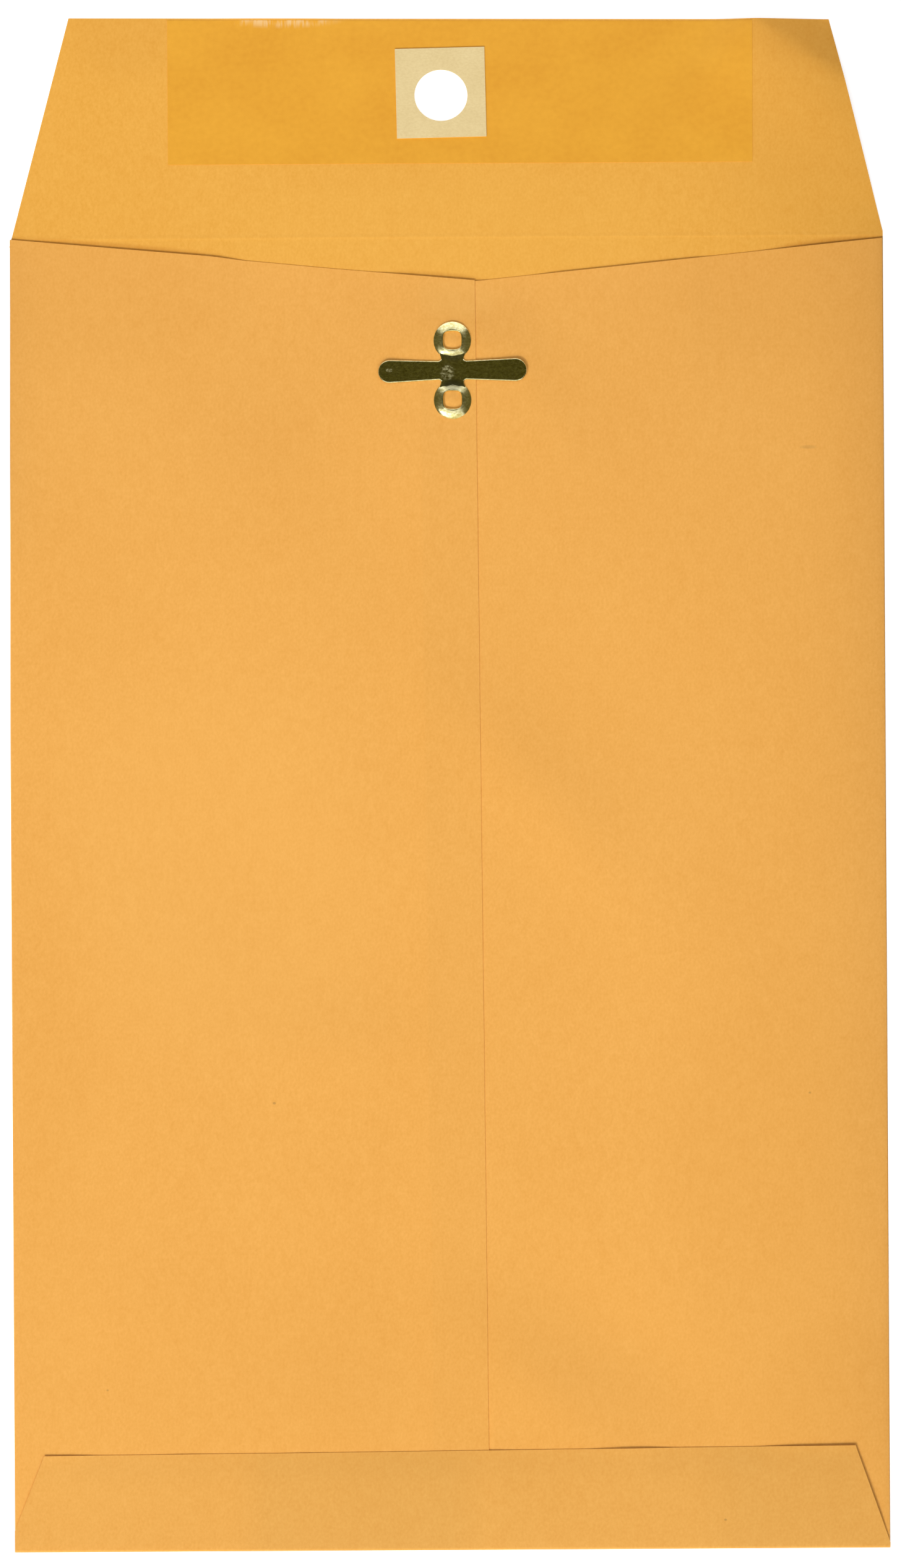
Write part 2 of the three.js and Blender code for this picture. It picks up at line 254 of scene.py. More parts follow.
def overlap_depth(x, y):
    """How far the lower panel lies under the upper one: glue and paper, pressed thin at the seam."""
    return PRESSED + (PAPER + GLUE - PRESSED) * ramp(seam_x(y) - x, *SEAM_PRESS)


def right_top(x, y):
    """The lower front panel stays under the upper one wherever they overlap."""
    top = front_top(x, y, 1)
    if x < seam_x(y) + 0.3:
        top = min(top, left_top(x, y) - overlap_depth(x, y))
    return top


print("Front at the clasp, mid left, mid right:", [round(h, 2) for h in (
    left_top(CLASP.x, CLASP.y), left_top(-40, 0), right_top(40, 0))])

# %% [markdown]
# ## Sheet-making helpers
# A sheet starts as a grid, because a grid bends evenly wherever the paper is later lifted. Straight
# die cuts are planes that clear what lies beyond them. A punched hole takes out a square of cells
# and bridges its edge to a circle, which keeps the cells round it regular. A boolean would work too,
# but it leaves thin slivers that shade badly on curved paper.

# %% Grids and straight cuts
STEP = 1.25


def new_sheet(low, high, step=STEP):
    """A flat grid of nearly square cells between two corners."""
    sheet = bmesh.new()
    size = [high[0] - low[0], high[1] - low[1]]
    cells = [math.ceil(s / step) for s in size]
    bmesh.ops.create_grid(sheet, x_segments=cells[0], y_segments=cells[1], size=0.5)
    bmesh.ops.scale(sheet, vec=(size[0], size[1], 1), verts=sheet.verts)
    bmesh.ops.translate(sheet, vec=(low[0] + size[0] / 2, low[1] + size[1] / 2, 0), verts=sheet.verts)
    return sheet


def cut(sheet, point, normal, clear=True):
    """Cuts along a plane. With clear, what lies on the normal's side of it goes."""
    geometry = sheet.verts[:] + sheet.edges[:] + sheet.faces[:]
    bmesh.ops.bisect_plane(
        sheet, geom=geometry, dist=1e-4, plane_co=(point[0], point[1], 0),
        plane_no=(normal[0], normal[1], 0), clear_outer=clear,
    )


def trim(sheet, corners):
    """Die-cuts the sheet to a convex outline, given counter-clockwise."""
    for (x0, y0), (x1, y1) in zip(corners, corners[1:] + corners[:1]):
        cut(sheet, (x0, y0), (y1 - y0, x0 - x1))


def add_rows(sheet, start, end, insets):
    """Lays rows of edges below a straight edge and parallel to it, where the sheet has to bend."""
    for inset in insets:
        cut(sheet, (start[0], start[1] - inset), (start[1] - end[1], end[0] - start[0]), clear=False)


# %% The punched hole
PUNCH_MARGIN = 1.3
PUNCH_SEGMENTS = 64


def punch(sheet, radius):
    """The clasp hole, with a ring of faces from a square of missing cells in to its slightly oval edge."""
    half = radius + PUNCH_MARGIN
    for side in (-1, 1):
        cut(sheet, (HOLE.x + side * half, 0), (1, 0), clear=False)
        cut(sheet, (0, HOLE.y + side * half), (0, 1), clear=False)

    def reach(point):
        return max(abs(point.x - HOLE.x), abs(point.y - HOLE.y))

    inside = [face for face in sheet.faces if reach(face.calc_center_median()) < half]
    bmesh.ops.delete(sheet, geom=inside, context="FACES")
    rim = [edge for edge in sheet.edges
           if edge.is_boundary and all(reach(vert.co) < half + 1e-3 for vert in edge.verts)]
    circle = bmesh.ops.create_circle(
        sheet, cap_ends=False, radius=radius, segments=PUNCH_SEGMENTS,
        matrix=Matrix.Translation((HOLE.x, HOLE.y, 0)) @ Matrix.Diagonal((1, HOLE_OVAL, 1, 1)),
    )
    ring = list({edge for vert in circle["verts"] for edge in vert.link_edges})
    bmesh.ops.bridge_loops(sheet, edges=rim + ring)


# %% Spun arcs and folds
def spin_arc(mesh, geometry, centre, axis, angle, steps):
    """Spins verts and edges through an arc. Gives back the vertices at its end."""
    spun = bmesh.ops.spin(
        mesh, geom=geometry, cent=centre, axis=axis, dvec=(0, 0, 0), angle=angle, steps=steps,
        use_merge=False, use_duplicate=False,
    )
    return [item for item in spun["geom_last"] if isinstance(item, bmesh.types.BMVert)]


def spin_fold(sheet, on_fold, centre, axis, angle, steps):
    """Spins the outer edge of a sheet round the fold that it lies on."""
    edges = [edge for edge in sheet.edges if all(on_fold(vert.co) for vert in edge.verts)]
    spin_arc(sheet, list({vert for edge in edges for vert in edge.verts}) + edges, centre, axis, angle, steps)


# %% Heights and thickness
def face_up(sheet):
    """Turns every face of a flat sheet upwards."""
    bmesh.ops.recalc_face_normals(sheet, faces=sheet.faces)
    if sum(face.normal.z for face in sheet.faces) < 0:
        bmesh.ops.reverse_faces(sheet, faces=sheet.faces)


def drape(sheet, top):
    """Lifts each point of a flat sheet to its height."""
    face_up(sheet)
    for vert in sheet.verts:
        vert.co.z = top(vert.co.x, vert.co.y)


def thicken(sheet, thickness):
    """Gives a sheet its thickness behind its upper face. The back gets the second material."""
    front = set(sheet.faces)
    front_verts = set(sheet.verts)
    bmesh.ops.solidify(sheet, geom=sheet.faces[:], thickness=thickness)
    for face in sheet.faces:
        face.material_index = 0 if face in front else 1
    return [vert for vert in sheet.verts if vert not in front_verts]


def feather(back_verts, thinner):
    """Lifts the back of a sheet towards its front where the paper is pressed thin at an edge."""
    for vert in back_verts:
        vert.co.z += thinner(vert.co.x, vert.co.y)


# %% [markdown]
# ## Finishing a piece
# Every piece ends the same way: millimetres become metres, the mesh becomes an object at the origin,
# smooth faces keep crisp edges where the sheet was cut, the piece rides on its body where it is given
# one, and the CAD nodes that it stands for are hidden.


# %% Turn a bmesh into a finished piece
def new_object(name, source, materials):
    """Makes an object of a bmesh, with its materials."""
    mesh = bpy.data.meshes.new(name)
    source.to_mesh(mesh)
    source.free()
    for material in materials:
        mesh.materials.append(material)
    made = bpy.data.objects.new(name, mesh)
    bpy.context.scene.collection.objects.link(made)
    return made


def finish_piece(name, mesh_mm, materials, replaced, body=None, sharp_degrees=35):
    """Makes the object, and rides it on a body if one is given."""
    bmesh.ops.scale(mesh_mm, vec=(MM, MM, MM), verts=mesh_mm.verts)
    piece = new_object(name, mesh_mm, materials)
    mesh = piece.data
    mesh.shade_smooth()
    mesh.set_sharp_from_angle(angle=math.radians(sharp_degrees))
    if body:
        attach(piece, body)
    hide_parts(*replaced)
    print(name, "faces:", len(mesh.polygons), "size mm:", [round(d / MM, 2) for d in piece.dimensions])
    return piece


# %% [markdown]
# ## Colours and nodes
# Colours are written as they look on screen, as hex values, and one function turns them to the
# linear values that the shader works with. One small function adds a node with its settings, its
# numbers and its links.


# %% Colour and node helpers
def linear(code):
    """An sRGB hex colour as linear red, green, blue and alpha."""
    parts = [int(code[i:i + 2], 16) / 255 for i in (1, 3, 5)]
    return [c / 12.92 if c <= 0.04045 else ((c + 0.055) / 1.055) ** 2.4 for c in parts] + [1.0]


def add_node(tree, kind, values=None, links=None, **settings):
    """Adds a node: settings are its own options, values its constant sockets, links its inputs."""
    node = tree.nodes.new(kind)
    for name, setting in settings.items():
        setattr(node, name, setting)
    for socket, value in (values or {}).items():
        node.inputs[socket].default_value = value
    for socket, source in (links or {}).items():
        tree.links.new(source, node.inputs[socket])
    return node


def new_material(name, **constants):
    """A material with one principled shader, whose constant sockets are set directly."""
    material = bpy.data.materials.new(name)
    material.use_nodes = True
    shader = material.node_tree.nodes["Principled BSDF"]
    for socket, value in constants.items():
        shader.inputs[socket.replace("_", " ")].default_value = value
    return material, material.node_tree, shader


def grain(tree, size_mm, detail=2.0, roughness=0.5):
    """Noise with a real grain size in millimetres along X, Y and Z, as a value round 0.5."""
    place = add_node(tree, "ShaderNodeTexCoord").outputs["Object"]
    scale = add_node(tree, "ShaderNodeMapping", links={"Vector": place},
                     values={"Scale": [1 / (size * MM) for size in size_mm]})
    noise = add_node(tree, "ShaderNodeTexNoise", links={"Vector": scale.outputs["Vector"]},
                     values={"Scale": 1.0, "Detail": detail, "Roughness": roughness})
    return noise.outputs[0]


def weigh(tree, parts):
    """The sum of several (value, weight) pairs round 0.5, clamped to 0 and 1."""
    total = None
    for value, weight in parts:
        offset = 0.5 - weight / 2 if total is None else -weight / 2
        scaled = add_node(tree, "ShaderNodeMath", operation="MULTIPLY_ADD", links={0: value},
                          values={1: weight, 2: offset}).outputs[0]
        if total is None:
            total = scaled
        else:
            total = add_node(tree, "ShaderNodeMath", operation="ADD", use_clamp=True,
                             links={0: total, 1: scaled}).outputs[0]
    return total


def mottled(tree, parts, dark, light):
    """A colour between two hex colours, mottled by the weighed parts."""
    return add_node(tree, "ShaderNodeMix", data_type="RGBA", links={0: weigh(tree, parts)},
                    values={6: linear(dark), 7: linear(light)}).outputs[2]


def spot(tree, place_mm, size_mm, degrees=0.0):
    """1 at a place on the piece, falling to 0 where the turned spot of that half size ends."""
    place = add_node(tree, "ShaderNodeTexCoord").outputs["Object"]
    local = add_node(tree, "ShaderNodeMapping", vector_type="TEXTURE", links={"Vector": place},
                     values={"Location": [c * MM for c in place_mm], "Scale": [c * MM for c in size_mm],
                             "Rotation": (0, 0, math.radians(degrees))})
    away = add_node(tree, "ShaderNodeVectorMath", operation="LENGTH", links={0: local.outputs["Vector"]})
    return add_node(tree, "ShaderNodeMapRange", interpolation_type="SMOOTHSTEP",
                    links={0: away.outputs["Value"]}, values={1: 0.4, 2: 1.0, 3: 1.0, 4: 0.0}).outputs[0]


def add_mark(tree, colour, place_mm, size_mm, strength, code, degrees=0.0, through=None):
    """A spot of another colour, broken up by a grain if one is given."""
    amount = add_node(tree, "ShaderNodeMath", operation="MULTIPLY",
                      links={0: spot(tree, place_mm, size_mm, degrees)}, values={1: strength}).outputs[0]
    if through is not None:
        amount = add_node(tree, "ShaderNodeMath", operation="MULTIPLY", use_clamp=True,
                          links={0: amount, 1: through}).outputs[0]
    return add_node(tree, "ShaderNodeMix", data_type="RGBA", links={0: amount, 6: colour},
                    values={7: linear(code)}).outputs[2]


def finish_surface(tree, shader, colour, height, depth_mm, strength):
    """Links the colour, and a small relief of a real depth in millimetres."""
    tree.links.new(colour, shader.inputs["Base Color"])
    relief = add_node(tree, "ShaderNodeBump", links={"Height": height},
                      values={"Strength": strength, "Distance": depth_mm * MM})
    tree.links.new(relief.outputs["Normal"], shader.inputs["Normal"])


# %% [markdown]
# ## Golden kraft paper
# Kraft is unbleached sulphate pulp, here dyed golden. It is made on a moving wire, so its fibres lie
# mostly along one direction, and the pulp settles in faint clouds. The eye sees a matte sheet with a
# fine mottle and no gloss. The outer face is a touch paler than the inner one. Where glued layers
# lie under it, less light comes back through the thin sheet, so it looks a little deeper and greener
# there. An attribute on the piece says where that is. A rub, bark specks and patches of painted light
# and shade are marks in the piece's own coordinates, so each stays in its place on the paper.


# %% Kraft paper
FIBRE_MM = (0.4, 0.6, 0.4)
FLOCK_MM = (1.6, 2.4, 1.6)
CLOUD_MM = (26, 38, 26)
GLUED_ATTRIBUTE = "glued_under"
GLUED_TINT = "#eef2f3"


def kraft(name, dark, light, marks):
    material, tree, shader = new_material(name, Roughness=0.9, Specular_IOR_Level=0.25)
    fibres = grain(tree, FIBRE_MM, detail=3, roughness=0.65)
    parts = [(fibres, 1.1), (grain(tree, FLOCK_MM, detail=2), 0.4), (grain(tree, CLOUD_MM, detail=1), 0.28)]
    glued = add_node(tree, "ShaderNodeAttribute", attribute_name=GLUED_ATTRIBUTE)
    colour = add_node(
        tree, "ShaderNodeMix", data_type="RGBA", blend_type="MULTIPLY",
        links={0: glued.outputs["Fac"], 6: mottled(tree, parts, dark, light)}, values={7: linear(GLUED_TINT)},
    ).outputs[2]
    for place, size, strength, code, *degrees in marks:
        colour = add_mark(tree, colour, place, size, strength, code, *degrees)
    finish_surface(tree, shader, colour, fibres, depth_mm=0.006, strength=0.5)
    return material


# %% Marks, and the outer and inner face
# Each mark has its place and half size in mm, strength and colour, and some a turn in degrees. Outside
# are one grey rub, four bark specks, wide spots of painted shade at the bottom, the sides and the
# mouth's corners, and painted light on the left middle and above the clasp. Inside, painted shade
# darkens the flap's upper corners and its right, painted light pales the fold's middle, and a warm
# shadow is painted along the mouth.
DARK, PAINTED_SHADE, PAINTED_LIGHT, PAINTED_PALE_INSIDE, WARM_PAINTED_SHADOW = "#5a4630", "#d28e30", "#ffc266", "#ffc25a", "#c8781e"
MARKS = [
    ((63.0, 58.1, 1.3), (2.1, 0.5, 1.2), 0.16, DARK),
    ((-30.6, -55.5, 1.3), (0.4, 0.3, 1.2), 0.35, DARK),
    ((47.5, -128.4, 1.3), (0.4, 0.3, 1.2), 0.35, DARK),
    ((-59.9, -105.3, 1.3), (0.35, 0.3, 1.2), 0.3, DARK),
    ((62.6, -54.2, 1.3), (0.35, 0.3, 1.2), 0.3, DARK),
    # Wide spots of painted shade at the bottom, the sides and by the mouth, and of painted light on the left
    # middle and above the clasp
    ((5, -103, 1.3), (110, 27, 30), 0.08, PAINTED_SHADE),
    ((-38, -14, 1.3), (36, 46, 30), 0.15, PAINTED_LIGHT),
    ((56, -60, 1.3), (26, 40, 30), 0.08, PAINTED_SHADE),
    ((68, -108, 1.3), (20, 20, 30), 0.08, PAINTED_SHADE),
    ((-76, -62, 1.3), (18, 72, 30), 0.08, PAINTED_SHADE),
    ((-62, 86, 1.3), (34, 18, 30), 0.08, PAINTED_SHADE),
    ((60, 86, 1.3), (40, 18, 30), 0.09, PAINTED_SHADE),
    ((2.5, 84.5, 1.3), (9, 5, 30), 0.2, PAINTED_LIGHT),
]
INSIDE_PAINTED_SHADING = [
    # Painted shade on the flap's right and its upper corners, and painted light at the fold's middle
    ((70, 120, 0.5), (34, 34, 30), 0.16, PAINTED_SHADE),
    ((63, 132, 0.5), (14, 10, 30), 0.16, PAINTED_SHADE),
    ((-55, 131, 0.5), (16, 11, 30), 0.14, PAINTED_SHADE),
    ((4, 96, 0.5), (46, 15, 30), 0.12, PAINTED_PALE_INSIDE),
    # Warm painted shadow lines just above the mouth edges
    ((-57, FOLD_Y - 1.6, 0.2), (23, 1.1, 30), 0.35, WARM_PAINTED_SHADOW, -5.0),
    ((-1, THROAT_Y + 0.6, 0.2), (10, 1.0, 30), 0.25, WARM_PAINTED_SHADOW, -5.0),
    ((67, FOLD_Y - 1.4, 0.2), (13, 1.1, 30), 0.35, WARM_PAINTED_SHADOW, 5.7),
]
kraft_outer = kraft("kraft_paper_outer_face", dark="#eaa347", light="#f9b85d", marks=MARKS)
kraft_inner = kraft("kraft_paper_inner_face", dark="#eaa33a", light="#f9ba53", marks=INSIDE_PAINTED_SHADING)
print("Marks outside and inside:", len(MARKS), len(INSIDE_PAINTED_SHADING))

# %% Where glued paper lies underneath
def mark_glued(piece, amount):
    """Writes how much glued paper lies under each point, for the kraft material to read."""
    layer = piece.data.attributes.new(GLUED_ATTRIBUTE, "FLOAT", "POINT")
    values = [amount(vert.co.x / MM, vert.co.y / MM) for vert in piece.data.vertices]
    layer.data.foreach_set("value", values)


# %% [markdown]
# ## Dried gum
# The closing flap has a strip of remoistenable gum, a starch film rolled on wet. It soaks the fibres
# a little, so the paper under it looks deeper in colour, and it dries smooth, so it has a soft gloss.
# Left of the patch, pale streaks along the edge are painted sheen, a gloss painted into the gum's colour.


# %% Gum and seam glue
COAT_MM = (1.1, 1.0, 1.0)
POOL_MM = (13, 10, 10)
SHEEN_STREAK_MM = (0.35, 2.5, 1.0)
SHEEN_PATCH_MM = (2.6, 4.0, 1.0)


def gum(name, dark, light, painted_sheen=None):
    material, tree, shader = new_material(name, Roughness=0.5, Specular_IOR_Level=0.45)
    coat = grain(tree, COAT_MM, detail=3)
    colour = mottled(tree, [(coat, 0.75), (grain(tree, POOL_MM, detail=1), 0.8)], dark, light)
    if painted_sheen:
        streak_grain, patch_grain = grain(tree, SHEEN_STREAK_MM, detail=2), grain(tree, SHEEN_PATCH_MM, detail=1)
        streaks = weigh(tree, [(streak_grain, 1.5), (patch_grain, 1.8)])
        scuff_and_sheen_flecks = add_node(tree, "ShaderNodeMapRange", links={0: streaks},
                          values={1: 0.42, 2: 0.8, 3: 0.0, 4: 1.0}).outputs[0]
        # Painted sheen: pale streaks of gloss mixed into the gum's colour.
        colour = add_mark(tree, colour, *painted_sheen, code="#fff0c8", through=scuff_and_sheen_flecks)
    finish_surface(tree, shader, colour, coat, depth_mm=0.01, strength=0.4)
    return material


# The strip's painted sheen lies along its edge, left of the patch.
flap_gum = gum("remoistenable_gum_film", dark="#e69c19", light="#f7b22d",
               painted_sheen=((-28.0, FOLD_Y + 38.1, 0), (12, 1.9, 5), 0.34))
seam_glue = gum("dried_dextrin_glue", dark="#dcc48c", light="#eed9a8")
print("Gum and glue:", flap_gum.name, seam_glue.name)

# %% [markdown]
# ## Manila patch
# The clasp hole is reinforced with a square of pale manila paper. It is paler and a little smoother
# than kraft, with fine short fibres.

# %% Patch paper
manila, manila_tree, manila_shader = new_material(
    "manila_patch_paper", Roughness=0.8, Specular_IOR_Level=0.3)
manila_fibres = grain(manila_tree, (0.5, 0.3, 0.3), detail=3)
manila_clouds = grain(manila_tree, (6, 5, 5), detail=2)
manila_colour = mottled(manila_tree, [(manila_fibres, 1.0), (manila_clouds, 0.6)], "#e0c58a", "#f3dca4")
finish_surface(manila_tree, manila_shader, manila_colour, manila_fibres, depth_mm=0.006, strength=0.5)

# %% [markdown]
# ## Brass-plated steel
# The clasp is stamped from thin steel strip with a bright brassy plating. Stamping leaves shallow
# dents and drag marks, so the flats mirror the room in blotches, and the dents are what makes them
# read as metal. The relief is a bump of a few micrometres at the size of such dents.

# %% Clasp metal
FLAT_ROUGHNESS = 0.15
DRAWN_EXTRA = 0.09
SCUFF_EXTRA = 0.24
# The grey of the painted shade on the eyelets' crowns
CROWN_PAINTED_SHADE = "#7d7a68"

plated, plated_tree, plated_shader = new_material("brass_plated_steel", Metallic=1.0)
dents = grain(plated_tree, (1.1, 0.8, 0.8), detail=4, roughness=0.6)
mottle = grain(plated_tree, (0.5, 0.4, 0.4), detail=4, roughness=0.75)
plated_colour = mottled(plated_tree, [(dents, 0.6), (mottle, 3.0)], "#c9bd7a", "#fdf6c6")
# Painted shade: two grey spots dim the reflection on the plate side of each eyelet's crown, more on the lower
# one.
for y, half_height, strength in ((EYELETS[0].y + 2.5, 1.5, 0.75), (EYELETS[1].y - 2.6, 1.3, 0.33)):
    plated_colour = add_mark(plated_tree, plated_colour, (CLASP.x + 0.1, y, CLASP.z), (2.6, half_height, 3),
                             strength, CROWN_PAINTED_SHADE)
wear = weigh(plated_tree, [(dents, 1.4), (mottle, 0.8)])
finish_surface(plated_tree, plated_shader, plated_colour, wear, depth_mm=0.02, strength=0.6)

# The drawn eyelets are duller than the flats. Scuffs lie at the middle and on the left tip, where the
# prongs have been bent and rubbed.
scuff_and_sheen_flecks = grain(plated_tree, (0.55, 0.4, 0.4), detail=3, roughness=0.6)
on_eyelets = {
    index: spot(plated_tree, tuple(centre), (4.4, 4.4, 4.4)) for index, centre in enumerate(EYELETS)}
drawn = add_node(plated_tree, "ShaderNodeMath", operation="ADD", use_clamp=True, links=on_eyelets).outputs[0]
rough = add_node(plated_tree, "ShaderNodeMath", operation="MULTIPLY_ADD", links={0: drawn},
                 values={1: DRAWN_EXTRA, 2: FLAT_ROUGHNESS}).outputs[0]
for place, size in (((CLASP.x - 0.9, CLASP.y - 0.4, CLASP.z), (2.1, 2.3, 2)),
                    ((CLASP.x - 11.0, CLASP.y, CLASP.z), (1.1, 0.6, 2))):
    scuffed = add_node(plated_tree, "ShaderNodeMath", operation="MULTIPLY",
                       links={0: spot(plated_tree, place, size), 1: scuff_and_sheen_flecks}).outputs[0]
    dull = add_node(plated_tree, "ShaderNodeMapRange", links={0: scuffed},
                    values={1: 0.3, 2: 0.7, 3: 0.0, 4: SCUFF_EXTRA}).outputs[0]
    rough = add_node(plated_tree, "ShaderNodeMath", operation="ADD", links={0: rough, 1: dull}).outputs[0]
plated_tree.links.new(rough, plated_shader.inputs["Roughness"])
print("Materials:", [m.name for m in (kraft_outer, kraft_inner, flap_gum, seam_glue, manila, plated)])

# %% [markdown]
# ## The address panel
# The back of the envelope lies on the table and shows only its inner face, in the mouth above the
# front panels. Its sides stop where the side folds begin, and its upper edge where the bending part
# of the closing flap's fold begins.

# %% Address panel
FOLD_RUN = 2.8
FOLD_START = FOLD_Y - FOLD_RUN / 2
BOTTOM_RADIUS = 0.5
BOTTOM_CREASE_Y = BOTTOM_Y + BOTTOM_RADIUS
WIDE_STEP = 2.5

# How far the left edge runs in, by place along the envelope, and the strip beside it that goes along
EDGE_BOW = [(5, 0), (50, 0.18), (90, 0.36)]
BOW_SPREAD = (56, 20)


def bow_edge(sheet):
    """The left edge of the envelope runs in a little towards the mouth."""
    for vert in sheet.verts:
        vert.co.x += along(EDGE_BOW, vert.co.y) * ramp(-vert.co.x, *BOW_SPREAD)


panel = new_sheet((-CREASE_X, BOTTOM_CREASE_Y), (CREASE_X, FOLD_START), step=WIDE_STEP)
drape(panel, lambda x, y: PAPER + bulge(x, y))
bow_edge(panel)
thicken(panel, PAPER)
finish_piece("address_panel_sheet", panel, [kraft_inner, kraft_outer], ["address_panel"],
             body="envelope")

# %% [markdown]
# ## Front panels with their side folds
# Each front panel is one stretch of paper with its side fold, so it is made as one piece: a draped
# grid whose outer edge is spun half a turn round the crease, down to the address panel. Spin gives
# the rounded fold that real pressed paper has, with no extra corner. Rows along the mouth and the
# seam let the paper bend where it is pressed thin.

# %% A front sheet
CREASE_STEPS = 8
POCKET_END_Y = BOTTOM_Y + 0.45
SEAM_LOW_X = seam_x(POCKET_END_Y)
SEAM_DIRECTION = Vector((seam_x(BOTTOM_Y) - SEAM_TOP_X, BOTTOM_Y - THROAT_Y)).normalized()
MOUTH_ROWS = (0.4, 1.0, 2.0)
STRAY_RUN = 12
MOUTH_PRESS, MOUTH_PRESS_RUN = 0.07, 2.0


def front_sheet(side, low_xs, high_xs, seam_rows):
    """A flat front panel from the bottom up to its mouth edge, with rows along the mouth and the seam."""
    left_corner, right_corner = [(x, throat_y(x, side)) for x in high_xs]
    corners = [(low_xs[0], POCKET_END_Y), (low_xs[1], POCKET_END_Y), right_corner, left_corner]
    xs, ys = zip(*corners)
    sheet = new_sheet((min(xs), min(ys)), (max(xs), max(ys)))
    trim(sheet, corners)
    add_rows(sheet, left_corner, right_corner, MOUTH_ROWS)
    for vert in sheet.verts:
        x, y = vert.co.x, vert.co.y
        vert.co.y += along(MOUTH_STRAY[side], x) * ramp(y - throat_y(x, side), -STRAY_RUN, STRAY_RUN)
    for inset in seam_rows:
        cut(sheet, (SEAM_TOP_X - inset, THROAT_Y), (SEAM_DIRECTION.y, -SEAM_DIRECTION.x), clear=False)
    return sheet


def add_crease(sheet, side):
    """Spins the outer edge of a front sheet round its side fold."""
    spin_fold(sheet, lambda co: abs(co.x - side * CREASE_X) < 1e-3, (side * CREASE_X, 0, CREASE_RADIUS),
              (0, 1, 0), side * math.pi, CREASE_STEPS)


def mouth_press(x, y, side):
    """How much thinner a front sheet is pressed along its die-cut mouth edge."""
    return MOUTH_PRESS * (1 - ramp(mouth_y(x, side) - y, 0, MOUTH_PRESS_RUN))


# %% Left front sheet
SEAM_TONE = 0.12

left = front_sheet(-1, (-CREASE_X, SEAM_LOW_X), (-CREASE_X, SEAM_TOP_X),
                   seam_rows=(0.7, 1.6, OVERLAP - 0.3, OVERLAP + 0.3))
drape(left, left_top)
add_crease(left, -1)
bow_edge(left)
feather(thicken(left, PAPER), lambda x, y: max(
    PAPER - overlap_depth(x, y) if x > 0 else 0, mouth_press(x, y, -1)))
left_piece = finish_piece("left_front_sheet", left, [kraft_outer, kraft_inner],
                          ["left_side_fold", "left_seam_panel"], body="envelope")
mark_glued(left_piece, lambda x, y: SEAM_TONE if x > seam_x(y) - OVERLAP else 0.0)

# %% Right front sheet
right = front_sheet(1, (SEAM_LOW_X - OVERLAP, CREASE_X), (SEAM_TOP_X - OVERLAP, CREASE_X),
                    seam_rows=(-0.4, 0.4, 1.6))
drape(right, right_top)
add_crease(right, 1)
feather(thicken(right, PAPER), lambda x, y: mouth_press(x, y, 1))
finish_piece("right_front_sheet", right, [kraft_outer, kraft_inner], ["right_side_fold", "right_seam_panel"],
             body="envelope")

# %% [markdown]
# ## Seam glue
# A thin glue film holds the overlap of the two front panels. It is hidden, but it is what keeps the
# pocket closed, so it lies between the sheets and follows their relief.

# %% Seam glue film
GLUE_MARGIN = 0.8
FILM_STEP = 1.6
glue_low = POCKET_END_Y + GLUE_MARGIN
glue_high = THROAT_Y - 2 * GLUE_MARGIN
glue_corners = [
    (seam_x(glue_low) - OVERLAP + GLUE_MARGIN, glue_low), (seam_x(glue_low) - GLUE_MARGIN, glue_low),
    (seam_x(glue_high) - GLUE_MARGIN, glue_high), (seam_x(glue_high) - OVERLAP + GLUE_MARGIN, glue_high),
]
film = new_sheet((glue_corners[3][0], glue_low), (glue_corners[1][0], glue_high), step=FILM_STEP)
trim(film, glue_corners)
drape(film, lambda x, y: left_top(x, y) - min(PAPER, overlap_depth(x, y)))
thicken(film, GLUE)
finish_piece("seam_glue_film", film, [seam_glue, seam_glue], ["seam_glue"], body="envelope")

# %% [markdown]
# ## The bottom flap
# The bottom of the sheet is folded up over both front panels and glued down. Its upper edge stays
# slightly loose in places, which draws the thin broken shadow line there. The fold itself is a spun
# half turn again, then scaled in height to the layers it wraps, which are thicker in the middle.

# %% Relief of the bottom flap
FLAP_LIP = [
    (-71, 0.2), (-67, 0.16), (-60, 0.0), (-52, 0.0), (-47, 0.04), (-40, 0.0), (-31, 0.0), (-26, 0.03),
    (-20, 0.0), (22, 0.0), (32, 0.22), (40, 0.02), (52, 0.0), (61, 0.24), (70, 0.31),
]
FLAP_LEFT = (-HALF_WIDTH + 5.2, BOTTOM_Y + 16.8)
FLAP_RIGHT = (HALF_WIDTH - 6.0, BOTTOM_Y + 17.95)
SLANT_LIFT, SLANT_RISE = 0.22, (0, 8)
LIFT_RUN = 2.5
SEAM_STEP_RUN = 3.5
EDGE_PRESS, EDGE_PRESS_RUN = 0.115, 5


def flap_edge_y(x):
    """Where the upper edge of the bottom flap is."""
    share = (x - FLAP_LEFT[0]) / (FLAP_RIGHT[0] - FLAP_LEFT[0])
    return FLAP_LEFT[1] + (FLAP_RIGHT[1] - FLAP_LEFT[1]) * share


def edge_press(x, y):
    """How much thinner the flap is pressed along its upper edge."""
    return EDGE_PRESS * (1 - ramp(flap_edge_y(x) - y, 0, EDGE_PRESS_RUN))


